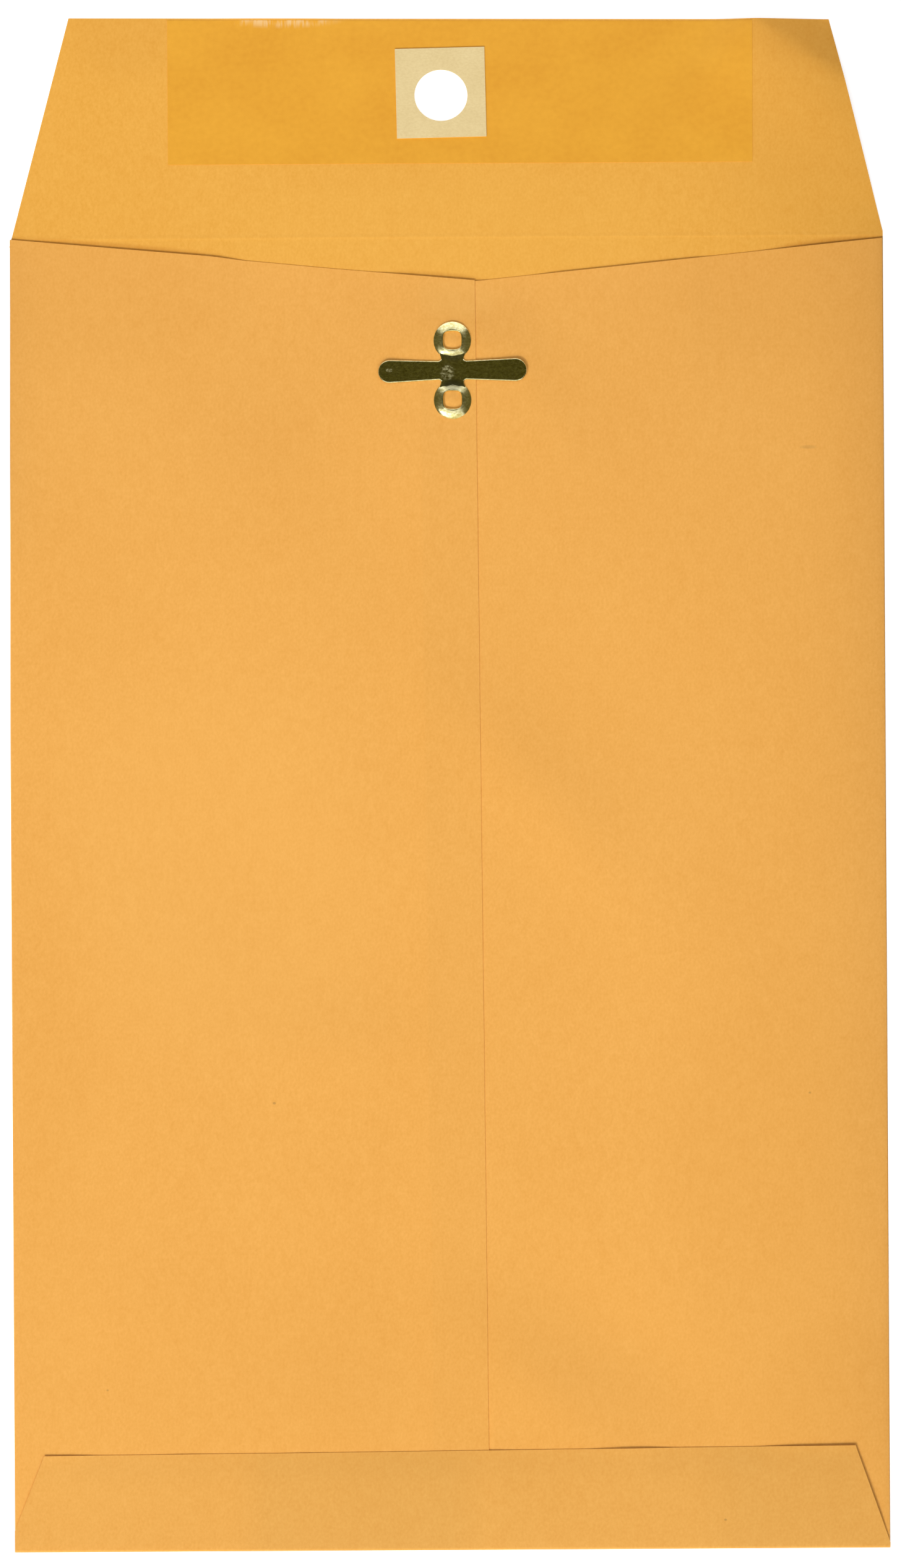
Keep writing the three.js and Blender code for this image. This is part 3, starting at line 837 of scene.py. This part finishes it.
def bottom_flap_top(x, y):
    """The flap bridges the step at the seam, and its upper edge and right slant are loose in places."""
    seam = seam_x(y)
    front = left_top(x, y) if x < seam else right_top(x, y) + PRESSED * fading(x - seam, SEAM_STEP_RUN)
    lift = along(FLAP_LIP, x) * fading(flap_edge_y(x) - y, LIFT_RUN)
    slant_x = FLAP_RIGHT[0] + (HALF_WIDTH - FLAP_RIGHT[0]) * (FLAP_RIGHT[1] - y) / (FLAP_RIGHT[1] - BOTTOM_Y)
    slant = SLANT_LIFT * fading(slant_x - x, LIFT_RUN) * ramp(y - BOTTOM_Y, *SLANT_RISE)
    return front + GLUE + PAPER - edge_press(x, y) + max(lift, slant)


# %% Bottom flap and its fold
FLAP_TONE = [(-74, 0.35), (-40, 0.4), (-30, 0.75), (-2, 0.85), (8, 0.55), (40, 0.55), (52, 0.8), (74, 0.75)]
BOTTOM_STEPS = 10

flap = new_sheet((-HALF_WIDTH, BOTTOM_CREASE_Y), (HALF_WIDTH, FLAP_RIGHT[1]))
trim(flap, [(-HALF_WIDTH, BOTTOM_CREASE_Y), (HALF_WIDTH, BOTTOM_CREASE_Y), (HALF_WIDTH, BOTTOM_Y + 1.0),
            FLAP_RIGHT, FLAP_LEFT, (-HALF_WIDTH, BOTTOM_Y + 3.8)])
drape(flap, lambda x, y: 2 * BOTTOM_RADIUS)
spin_fold(flap, lambda co: abs(co.y - BOTTOM_CREASE_Y) < 1e-3, (0, BOTTOM_CREASE_Y, BOTTOM_RADIUS),
          (1, 0, 0), math.pi, BOTTOM_STEPS)
add_rows(flap, FLAP_LEFT, FLAP_RIGHT, (0.5, 1.0, 1.8))
for vert in flap.verts:
    if vert.co.z > 2 * BOTTOM_RADIUS - 1e-4:
        vert.co.z = bottom_flap_top(vert.co.x, vert.co.y)
    else:
        vert.co.z *= bottom_flap_top(vert.co.x, BOTTOM_CREASE_Y) / (2 * BOTTOM_RADIUS)
feather(thicken(flap, PAPER), lambda x, y: min(edge_press(x, y), PAPER * 0.6))
flap_piece = finish_piece("bottom_flap_sheet", flap, [kraft_outer, kraft_inner],
                          ["bottom_fold", "bottom_flap"], body="envelope")
mark_glued(flap_piece, lambda x, y: along(FLAP_TONE, x))

# %% Glue film under the bottom flap
low_x, low_y = FLAP_LEFT[0] + GLUE_MARGIN, POCKET_END_Y + GLUE_MARGIN
high_x, high_y = FLAP_RIGHT[0] - GLUE_MARGIN, FLAP_LEFT[1] - 1.5
film = new_sheet((low_x, low_y), (high_x, high_y), step=WIDE_STEP)
drape(film, lambda x, y: bottom_flap_top(x, y) - PAPER)
thicken(film, GLUE * 0.8)
finish_piece("bottom_flap_glue_film", film, [seam_glue, seam_glue], ["bottom_flap_glue"],
             body="envelope")

# %% [markdown]
# ## The closing flap
# The flap lies open with its inner face up. It bends at a scored line, so its sheet starts below the
# fold and meets the address panel there. The strip round the fold gets closely spaced rows, because
# only rows can bend. The score itself is a fine raised line.

# %% Outline of the closing flap
TIP_LEFT = (-HALF_WIDTH + 10.8, FOLD_Y + 38.4)
TIP_RIGHT = (HALF_WIDTH - 9.2, FOLD_Y + 37.5)
BASE_LEFT = (-HALF_WIDTH + 0.7, FOLD_Y + 0.15)
BASE_RIGHT = (HALF_WIDTH + 0.1, FOLD_Y + 0.15)


def tip_line(x):
    """Where the tip edge of the flap is: the die cut it slightly out of square."""
    return TIP_LEFT[1] + (TIP_RIGHT[1] - TIP_LEFT[1]) * (x - TIP_LEFT[0]) / (TIP_RIGHT[0] - TIP_LEFT[0])


def side_line(tip, base, y):
    """Where a straight side of the flap is at a height."""
    return base[0] + (tip[0] - base[0]) * (y - base[1]) / (tip[1] - base[1])


# %% Relief of the open flap
SCORE_HEIGHT = 0.035
SCORE_HALF = 0.35
CORNER_BEND = Vector((53.7, 133.0))
CORNER_NORMAL = Vector((0.56, 0.83))
CORNER_HEIGHT = 1.35
CORNER_DROP, CORNER_RISE, CORNER_SIDE = 6.4, 13, (-6, 8)
CURL_X, CURL_HALF = -29, 9
CURL_DEPTH, CURL_RATE = 2.0, 0.05
PAST_FOLD = (0, 10)


def corner_hump(x, y):
    """The right corner was bent once: the sheet humps along a slanting line and drops to its corner."""
    beyond = (Vector((x, y)) - CORNER_BEND).dot(CORNER_NORMAL)
    run = (x - CORNER_BEND.x) * CORNER_NORMAL.y - (y - CORNER_BEND.y) * CORNER_NORMAL.x
    height = CORNER_HEIGHT * ramp(run, *CORNER_SIDE)
    if beyond > 0:
        return height * (1 - min(beyond / CORNER_DROP, 1))
    return height * math.exp(-((beyond / CORNER_RISE) ** 2))


def edge_curl(x, y):
    """The gummed edge curls up a little left of the patch, where it catches a thin line of gloss."""
    near_edge = max(y - (tip_line(x) - CURL_DEPTH), 0)
    return CURL_RATE * near_edge ** 2 * plateau(x - CURL_X, CURL_HALF)


def open_flap_top(x, y):
    """The flap lies on the table past the scored fold, apart from its corner and its gummed edge."""
    score = SCORE_HEIGHT * max(0.0, 1 - abs(y - FOLD_Y) / SCORE_HALF)
    lifted = (corner_hump(x, y) + edge_curl(x, y)) * ramp(y - FOLD_Y, *PAST_FOLD)
    return PAPER + score + bulge(x, y) + lifted


# %% Closing flap
FOLD_ROWS = 8
TIP_ROWS = (0.4, 0.8, 1.3, 1.9)
HOLE_ROOM = 0.06
start_left = side_line(TIP_LEFT, BASE_LEFT, FOLD_START)
start_right = min(side_line(TIP_RIGHT, BASE_RIGHT, FOLD_START), HALF_WIDTH)

closing = new_sheet((start_left, FOLD_START), (start_right, TIP_LEFT[1]))
trim(closing, [(start_left, FOLD_START), (start_right, FOLD_START), BASE_RIGHT, TIP_RIGHT, TIP_LEFT,
               BASE_LEFT])
for row in range(1, FOLD_ROWS):
    cut(closing, (0, FOLD_START + row * FOLD_RUN / FOLD_ROWS), (0, 1), clear=False)
for offset in (-SCORE_HALF, SCORE_HALF):
    cut(closing, (0, FOLD_Y + offset), (0, 1), clear=False)
add_rows(closing, TIP_LEFT, TIP_RIGHT, TIP_ROWS)
punch(closing, HOLE_RADIUS + HOLE_ROOM)
drape(closing, open_flap_top)
thicken(closing, PAPER)
closing_sheet = finish_piece("closing_flap_sheet", closing, [kraft_inner, kraft_outer], ["closure_flap"])
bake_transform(closing_sheet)

# %% Gum strip
GUM = 0.05
GUM_LEFT, GUM_RIGHT, GUM_LOW = -48.2, 53.6, FOLD_Y + 12.8
GUM_SETBACK = 0.3

strip = new_sheet((GUM_LEFT, GUM_LOW), (GUM_RIGHT, tip_line(GUM_LEFT)))
trim(strip, [(GUM_LEFT, GUM_LOW), (GUM_RIGHT, GUM_LOW), (GUM_RIGHT, tip_line(GUM_RIGHT) - GUM_SETBACK),
             (GUM_LEFT, tip_line(GUM_LEFT) - GUM_SETBACK)])
add_rows(strip, TIP_LEFT, TIP_RIGHT, TIP_ROWS)
punch(strip, HOLE_RADIUS + HOLE_ROOM)
drape(strip, lambda x, y: open_flap_top(x, y) + GUM)
thicken(strip, GUM)
finish_piece("gum_film", strip, [flap_gum, flap_gum], ["flap_gum"], body="flap")

# %% [markdown]
# ## The patch round the hole
# A square of manila is stuck over the gum and punched together with the flap, so the hole goes
# through all three. It was stuck on by machine, a fraction of a degree out of square.

# %% Patch
PATCH = 0.17
PATCH_HALF = 7.8
PATCH_TURN = 0.0195
PATCH_CENTRE = HOLE + Vector((-0.05, 0.47, 0))
UNCUT_HALF = 8.2

turned = Matrix.Rotation(PATCH_TURN, 3, "Z")
patch_corners = [
    (PATCH_CENTRE + turned @ Vector((x * PATCH_HALF, y * PATCH_HALF, 0))).to_2d().to_tuple()
    for x, y in ((-1, -1), (1, -1), (1, 1), (-1, 1))
]
patch = new_sheet((PATCH_CENTRE.x - UNCUT_HALF, PATCH_CENTRE.y - UNCUT_HALF),
                  (PATCH_CENTRE.x + UNCUT_HALF, PATCH_CENTRE.y + UNCUT_HALF))
trim(patch, patch_corners)
punch(patch, HOLE_RADIUS)
drape(patch, lambda x, y: open_flap_top(x, y) + GUM + PATCH)
thicken(patch, PATCH)
finish_piece("manila_hole_patch", patch, [manila, manila], ["hole_patch"], body="flap")

# %% [markdown]
# ## The clasp
# The clasp is one stamping: two eyelets whose torn barrels go through both front panels and are
# flared inside, a plate between them, and two prongs that bend up through the hole in the closing
# flap. The barrel pierces the paper round its edge only, so a plug of paper stays in each bore.
# An eyelet is a body of revolution, so its section is drawn once and spun. The punch leaves its bore
# nearly square, so the inner points are then pushed out towards a rounded square.

# %% Measures of an eyelet
# The strip and what drawing leaves of it, the barrel, and the crown from its crest out to the rim
METAL = 0.24
DRAWN_METAL = 0.2
BORE = 1.46
BARREL_DEPTH = 0.35
FLANGE = 1.0
CROWN = 0.68
CREST_RADIUS, RIM_RADIUS, RIM_WALL = 1.8, 3.3, 0.075
CREST_SLOPE, RIM_SLOPE = math.radians(9), math.radians(36)
ROLL = 0.2
SQUARE_TO = 2.15
EYELET_STEPS = 72

# How far the side towards the plate is pulled in, on the lower eyelet and on the upper one, and where
# to either side the pull ends, in degrees
PLATE_PULL = {1: 0.42, -1: 0.26}
PULL_END = (18, 24)


def rounded_square(angle):
    """How far a rounded square reaches beside a circle of radius 1."""
    return (abs(math.cos(angle)) ** 4 + abs(math.sin(angle)) ** 4) ** -0.25


def out_on_slope(radius, slope):
    """The step from an arc's centre out to where its face has a slope."""
    return radius * Vector((math.sin(slope), 0, math.cos(slope)))


def draw_on(mesh, vert, place):
    """Extrudes the section's last vertex to its next place."""
    end = bmesh.ops.extrude_vert_indiv(mesh, verts=[vert])["verts"][0]
    end.co = place
    return end


# %% One eyelet
def eyelet_section(eyelet):
    """Draws the section from the rim over the crown and down the barrel to its flared end."""
    dome = (RIM_RADIUS - RIM_WALL - CREST_RADIUS) / (math.sin(RIM_SLOPE) - math.sin(CREST_SLOPE))
    dome_centre = Vector((CREST_RADIUS, 0, CROWN)) - out_on_slope(dome, CREST_SLOPE)
    foot = eyelet.verts.new((RIM_RADIUS, 0, 0))
    rim = draw_on(eyelet, foot, dome_centre + out_on_slope(dome, RIM_SLOPE))
    crest = spin_arc(eyelet, [rim], dome_centre, (0, 1, 0), CREST_SLOPE - RIM_SLOPE, 8)[0]
    roll_centre = crest.co - out_on_slope(ROLL, CREST_SLOPE)
    crown_end = spin_arc(eyelet, [crest], roll_centre, (0, 1, 0), -math.pi / 2 - CREST_SLOPE, 6)[0]
    barrel = draw_on(eyelet, crown_end, (BORE, 0, -BARREL_DEPTH))
    flare_centre = (BORE + METAL, 0, -BARREL_DEPTH)
    flare_end = spin_arc(eyelet, [barrel], flare_centre, (0, 1, 0), -math.pi / 2, 4)[0]
    draw_on(eyelet, flare_end, (BORE + METAL + FLANGE, 0, -BARREL_DEPTH - METAL))


def shape_eyelet(eyelet, toward_plate):
    """Pulls in the side towards the plate, and pushes the bore out to its rounded square."""
    for vert in eyelet.verts:
        radius = vert.co.to_2d().length
        beside = math.degrees(math.atan2(abs(vert.co.x), toward_plate * vert.co.y))
        if radius > CREST_RADIUS and vert.co.z > -0.01:
            pull = PLATE_PULL[toward_plate] * (1 - ramp(beside, *PULL_END))
            vert.co.xy *= (CREST_RADIUS + (radius - CREST_RADIUS) * (1 - pull)) / radius
        radius = vert.co.to_2d().length
        fade = min(max((SQUARE_TO - radius) / (SQUARE_TO - BORE), 0.0), 1.0)
        vert.co.xy *= 1 + (rounded_square(math.atan2(vert.co.y, vert.co.x)) - 1) * fade


def eyelet_mesh(centre):
    eyelet = bmesh.new()
    eyelet_section(eyelet)
    bmesh.ops.spin(
        eyelet, geom=eyelet.verts[:] + eyelet.edges[:], cent=(0, 0, 0), axis=(0, 0, 1), dvec=(0, 0, 0),
        angle=2 * math.pi, steps=EYELET_STEPS, use_merge=True, use_duplicate=False,
    )
    bmesh.ops.remove_doubles(eyelet, verts=eyelet.verts, dist=1e-4)
    shape_eyelet(eyelet, toward_plate=1 if centre.y < CLASP.y else -1)
    bmesh.ops.recalc_face_normals(eyelet, faces=eyelet.faces)
    highest = max(eyelet.faces, key=lambda face: face.calc_center_median().z)
    if highest.normal.z < 0:
        bmesh.ops.reverse_faces(eyelet, faces=eyelet.faces)
    thicken(eyelet, DRAWN_METAL)
    bmesh.ops.translate(eyelet, vec=centre, verts=eyelet.verts)
    return eyelet


# %% [markdown]
# ## Plate and prongs
# The blanks are flat outlines with rounded corners, so they start as a few points, with arcs spun
# from a point. The face is thickened and its upper edge bevelled, as the die rolls it over. That
# narrow bevel is what catches the light along the prongs.


# %% Stamped blanks
WAIST = (1.99, 1.95)
LAND = (1.4, 1.55)
EDGE_ROLL = 0.2
INSET_ROOM = 0.03


def chain(blank, points):
    """A line of edges through a few points. Gives back its last vertex."""
    verts = [blank.verts.new((x, y, 0)) for x, y in points]
    for first, second in zip(verts, verts[1:]):
        blank.edges.new((first, second))
    return verts[-1]


def turn_point(blank, vert, centre, degrees, steps):
    """Spins one vertex into an arc."""
    return spin_arc(blank, [vert], (centre[0], centre[1], 0), (0, 0, 1), math.radians(degrees), steps)[0]


def stamp(blank, keep_sharp):
    """Fills an outline, thickens it downwards and rolls its upper edge, except where the test says."""
    bmesh.ops.remove_doubles(blank, verts=blank.verts, dist=1e-4)
    bmesh.ops.contextual_create(blank, geom=blank.verts[:] + blank.edges[:])
    face_up(blank)
    bmesh.ops.translate(blank, vec=(0, 0, METAL), verts=blank.verts)
    thicken(blank, METAL)
    face = max(blank.faces, key=lambda f: f.calc_center_median().z)
    bmesh.ops.inset_region(blank, faces=[face], thickness=EDGE_ROLL + INSET_ROOM, use_even_offset=True)
    outline = {edge for edge in blank.edges if len(edge.link_faces) == 2
               and any(abs(f.normal.z) < 0.5 for f in edge.link_faces)}
    rolled = [
        edge for edge in outline
        if all(abs(vert.co.z - METAL) < 1e-4 for vert in edge.verts)
        and not all(keep_sharp(vert.co) for vert in edge.verts)
    ]
    bmesh.ops.bevel(
        blank, geom=rolled, offset=EDGE_ROLL, segments=3, profile=0.5, affect="EDGES", material=-1,
        clamp_overlap=True,
    )


# %% Plate with its eyelets
SHOULDER_SHARE = 0.72
UNDER_EYELET = [(2.3, 3.72), (1.2, 3.0), (0, 2.7)]

plate = bmesh.new()
waist_point = chain(plate, [(LAND[0], 0), LAND, WAIST])
rise = EYELET_SPACING / 2 - WAIST[1]
neck = (rise ** 2 + WAIST[0] ** 2 - RIM_RADIUS ** 2) / (2 * (RIM_RADIUS - WAIST[0]))
lean = math.degrees(math.atan2(rise, WAIST[0] + neck))
shoulder = turn_point(plate, waist_point, (WAIST[0] + neck, WAIST[1]), -SHOULDER_SHARE * lean, steps=6)
chain(plate, [shoulder.co.to_2d().to_tuple(), *UNDER_EYELET])
bmesh.ops.remove_doubles(plate, verts=plate.verts, dist=1e-4)
for axis in ("X", "Y"):
    bmesh.ops.mirror(plate, geom=plate.verts[:] + plate.edges[:], axis=axis, merge_dist=1e-3)
stamp(plate, keep_sharp=lambda co: abs(co.x) < WAIST[0] + 1e-3 and abs(co.y) < WAIST[1] + 1e-3)
bmesh.ops.translate(plate, vec=CLASP, verts=plate.verts)
print("Plate neck radius and lean:", round(neck, 3), round(lean, 1))

for centre in EYELETS:
    part = eyelet_mesh(centre)
    carrier = bpy.data.meshes.new("eyelet")
    part.to_mesh(carrier)
    part.free()
    plate.from_mesh(carrier)
    bpy.data.meshes.remove(carrier)
finish_piece("clasp_plate_with_eyelets", plate, [plated, plated], ["clasp_base"],
             body="envelope", sharp_degrees=25)

# %% Prongs
TIP_RADIUS = 2.01
PRONG_END = 12.95
BEND_ROWS, ROW_STEP = 11, 0.1
ROOT_CORNER = [(2.12, -1.78), (2.4, -1.65)]


def prong_piece(name, side, tilt_degrees, replaced):
    """A prong with a wider round tip, and close rows at its root where it bends."""
    blank = bmesh.new()
    root = [(LAND[0], 0), (LAND[0], -LAND[1]), (WAIST[0], -WAIST[1]), *ROOT_CORNER]
    corner = chain(blank, root + [(PRONG_END - TIP_RADIUS, -TIP_RADIUS)])
    turn_point(blank, corner, (PRONG_END - TIP_RADIUS, 0), 90, steps=10)
    bmesh.ops.mirror(blank, geom=blank.verts[:] + blank.edges[:], axis="Y", merge_dist=1e-3)
    stamp(blank, keep_sharp=lambda co: co.x < WAIST[0] + 1e-3)
    for row in range(BEND_ROWS):
        cut(blank, (LAND[0] + ROW_STEP + row * ROW_STEP, 0), (1, 0), clear=False)
    place = Matrix.Translation(CLASP) @ Matrix.Rotation(math.radians(tilt_degrees), 4, "Z")
    if side < 0:
        place = place @ Matrix.Rotation(math.pi, 4, "Z")
    bmesh.ops.transform(blank, matrix=place, verts=blank.verts)
    prong = finish_piece(name, blank, [plated, plated], [replaced], sharp_degrees=25)
    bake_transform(prong)


prong_piece("left_bending_prong", -1, 0.95, "clasp_prong_left")
prong_piece("right_bending_prong", 1, 0.2, "clasp_prong_right")

# %% [markdown]
# ## Floor, cards and light
# The envelope lies on a plain pale floor that keeps its shadow. A soft key light and a large, softer
# one stand below and to the left of it, low enough for the paper's relief to show, and an even white
# surround fills the shadows. They add up to a level at which a colour renders about as it is written.
# Metal shows what it mirrors, so a first set of cards is seen in reflections only. A dark one hangs
# over the object, which is what the clasp's flats see, and slopes that face up or down the envelope
# see past it to a bright and a cream one, and slopes that face sideways to two grey ones. Three low
# black cards stand beside the sheet, out of the picture, and shade its edges as in the photograph.

# %% Floor
SURROUND = 0.49
FLOOR_GLOW = 0.7
FLOOR_GAP_M = 0.00005


def ray_switch(tree):
    """1 for camera, glossy and transmission rays, 0 for the rays that light the object."""
    path = add_node(tree, "ShaderNodeLightPath")
    both = add_node(tree, "ShaderNodeMath", operation="MAXIMUM", links={
        0: path.outputs["Is Camera Ray"], 1: path.outputs["Is Glossy Ray"]})
    return add_node(tree, "ShaderNodeMath", operation="MAXIMUM", links={
        0: both.outputs[0], 1: path.outputs["Is Transmission Ray"]}).outputs[0]


def stage_plane(name, size, centre, material):
    """A plain rectangle, in metres."""
    plane = bmesh.new()
    bmesh.ops.create_grid(plane, x_segments=1, y_segments=1, size=0.5)
    bmesh.ops.scale(plane, vec=(size[0], size[1], 1), verts=plane.verts)
    bmesh.ops.translate(plane, vec=centre, verts=plane.verts)
    stage_object = new_object(name, plane, [material])
    return stage_object


paint, paint_tree, paint_shader = new_material("white_studio_paint", Roughness=1.0, Specular_IOR_Level=0.0,
                                               Base_Color=linear("#f3f3f3"), Emission_Color=linear("#ffffff"))
glow = add_node(paint_tree, "ShaderNodeMath", operation="MULTIPLY", links={0: ray_switch(paint_tree)},
                values={1: FLOOR_GLOW})
paint_tree.links.new(glow.outputs[0], paint_shader.inputs["Emission Strength"])
stage_plane("floor", (4, 4), (0, 0, -FLOOR_GAP_M), paint)
print("Floor below the envelope in mm:", FLOOR_GAP_M / MM)

# %% Cards for the mirror reflections
def card_material(name, level, colour="#ffffff"):
    return new_material(name, Roughness=1.0, Specular_IOR_Level=0.0, Base_Color=linear("#000000"),
                        Emission_Color=linear(colour), Emission_Strength=level)[0]


def hide_from(stage_object, *rays):
    for ray in rays:
        setattr(stage_object, f"visible_{ray}", False)


def upright_card(name, start, end, height, material):
    """A card standing on the floor between two points, in metres."""
    run = Vector(end) - Vector(start)
    card = stage_plane(name, (run.length, height), (0, 0, 0), material)
    card.rotation_euler = (math.pi / 2, 0, math.atan2(run.y, run.x))
    card.location = ((Vector(start) + Vector(end)) / 2).to_3d() + Vector((0, 0, height / 2))
    return card


velvet = card_material("dark_flag", 0.06, "#fff267")
white_card = card_material("bright_card", 1.5)
grey_card = card_material("grey_card", 0.12, "#fff29a")
cream_card = card_material("cream_card", 0.9, "#fff6cc")
mirrored = [
    stage_plane("flag_above", (0.84, 0.6), (0, 0.157, 0.9), velvet),
    upright_card("grey_card_left", (-1.2, -1.2), (-1.2, 1.2), 2.6, grey_card),
    upright_card("grey_card_right", (1.2, -1.2), (1.2, 1.2), 2.6, grey_card),
    upright_card("cream_card_near", (-0.9, -1.3), (0.9, -1.3), 1.5, cream_card),
    upright_card("bright_card_far", (-0.9, 1.3), (0.9, 1.3), 1.4, white_card),
]
for card in mirrored:
    hide_from(card, "camera", "diffuse", "transmission", "shadow")

# %% Cards that shade the edges
black = card_material("black_card", 0.0)
shading = [
    upright_card("shade_right", (0.0885, -0.137), (0.083, 0.097), 0.016, black),
    upright_card("shade_flap", (0.083, 0.097), (0.0797, 0.142), 0.036, black),
    upright_card("shade_left", (-0.084, 0.040), (-0.084, 0.097), 0.008, black),
]
for card in shading:
    hide_from(card, "camera", "glossy", "transmission")

# %% World and lights
world = bpy.data.worlds.new("white_surround")
world.use_nodes = True
bpy.context.scene.world = world
world_tree = world.node_tree
world_tree.nodes.clear()
fill = add_node(world_tree, "ShaderNodeBackground", values={0: linear("#ffffff"), 1: SURROUND})
shown = add_node(world_tree, "ShaderNodeBackground", values={0: linear("#ffffff"), 1: 1.0})
chosen = add_node(world_tree, "ShaderNodeMixShader", links={
    0: ray_switch(world_tree), 1: fill.outputs[0], 2: shown.outputs[0]})
add_node(world_tree, "ShaderNodeOutputWorld", links={0: chosen.outputs[0]})


def soft_light(name, level, direction, distance, size):
    """A rectangular light that faces the origin and adds a given level to a flat white sheet there."""
    towards = Vector(direction).normalized()
    data = bpy.data.lights.new(name, "AREA")
    data.shape = "RECTANGLE"
    data.size, data.size_y = size
    data.energy = level * math.pi ** 2 * distance ** 2 / towards.z
    light = bpy.data.objects.new(name, data)
    light.location = towards * distance
    light.rotation_euler = towards.to_track_quat("Z", "Y").to_euler()
    bpy.context.scene.collection.objects.link(light)
    print(name, "watts:", round(data.energy, 1))


soft_light("key", level=0.30, direction=(-0.42, -0.66, 0.62), distance=4.2, size=(2.6, 0.5))
soft_light("window", level=0.28, direction=(-0.1, -0.8, 0.6), distance=5.0, size=(5.2, 2.4))

# %% [markdown]
# ## The camera
# The photograph looks straight down, and the envelope lies a third of a degree out of square in it.
# Its frame is 156.8 by 272.8 mm at the paper, so a long lens at the matching distance gives the
# same frame with hardly any perspective.

# %% Camera
VIEW_HEIGHT_MM = 272.75
VIEW_CENTRE_MM = (0.377, -0.164)
VIEW_TURN = -0.33
PAPER_LEVEL_MM = 0.8
LENS = 100
SENSOR = 36
camera_data = bpy.data.cameras.new("camera")
camera_data.lens = LENS
camera_data.sensor_width = SENSOR
camera_data.clip_start = 0.01
camera = bpy.data.objects.new("camera", camera_data)
camera.location = [c * MM for c in (*VIEW_CENTRE_MM, PAPER_LEVEL_MM + VIEW_HEIGHT_MM * LENS / SENSOR)]
camera.rotation_euler = (0, 0, math.radians(VIEW_TURN))
bpy.context.scene.collection.objects.link(camera)
bpy.context.scene.camera = camera
bpy.context.scene.view_settings.view_transform = "Standard"
print("Camera height in m:", round(camera.location.z, 4))
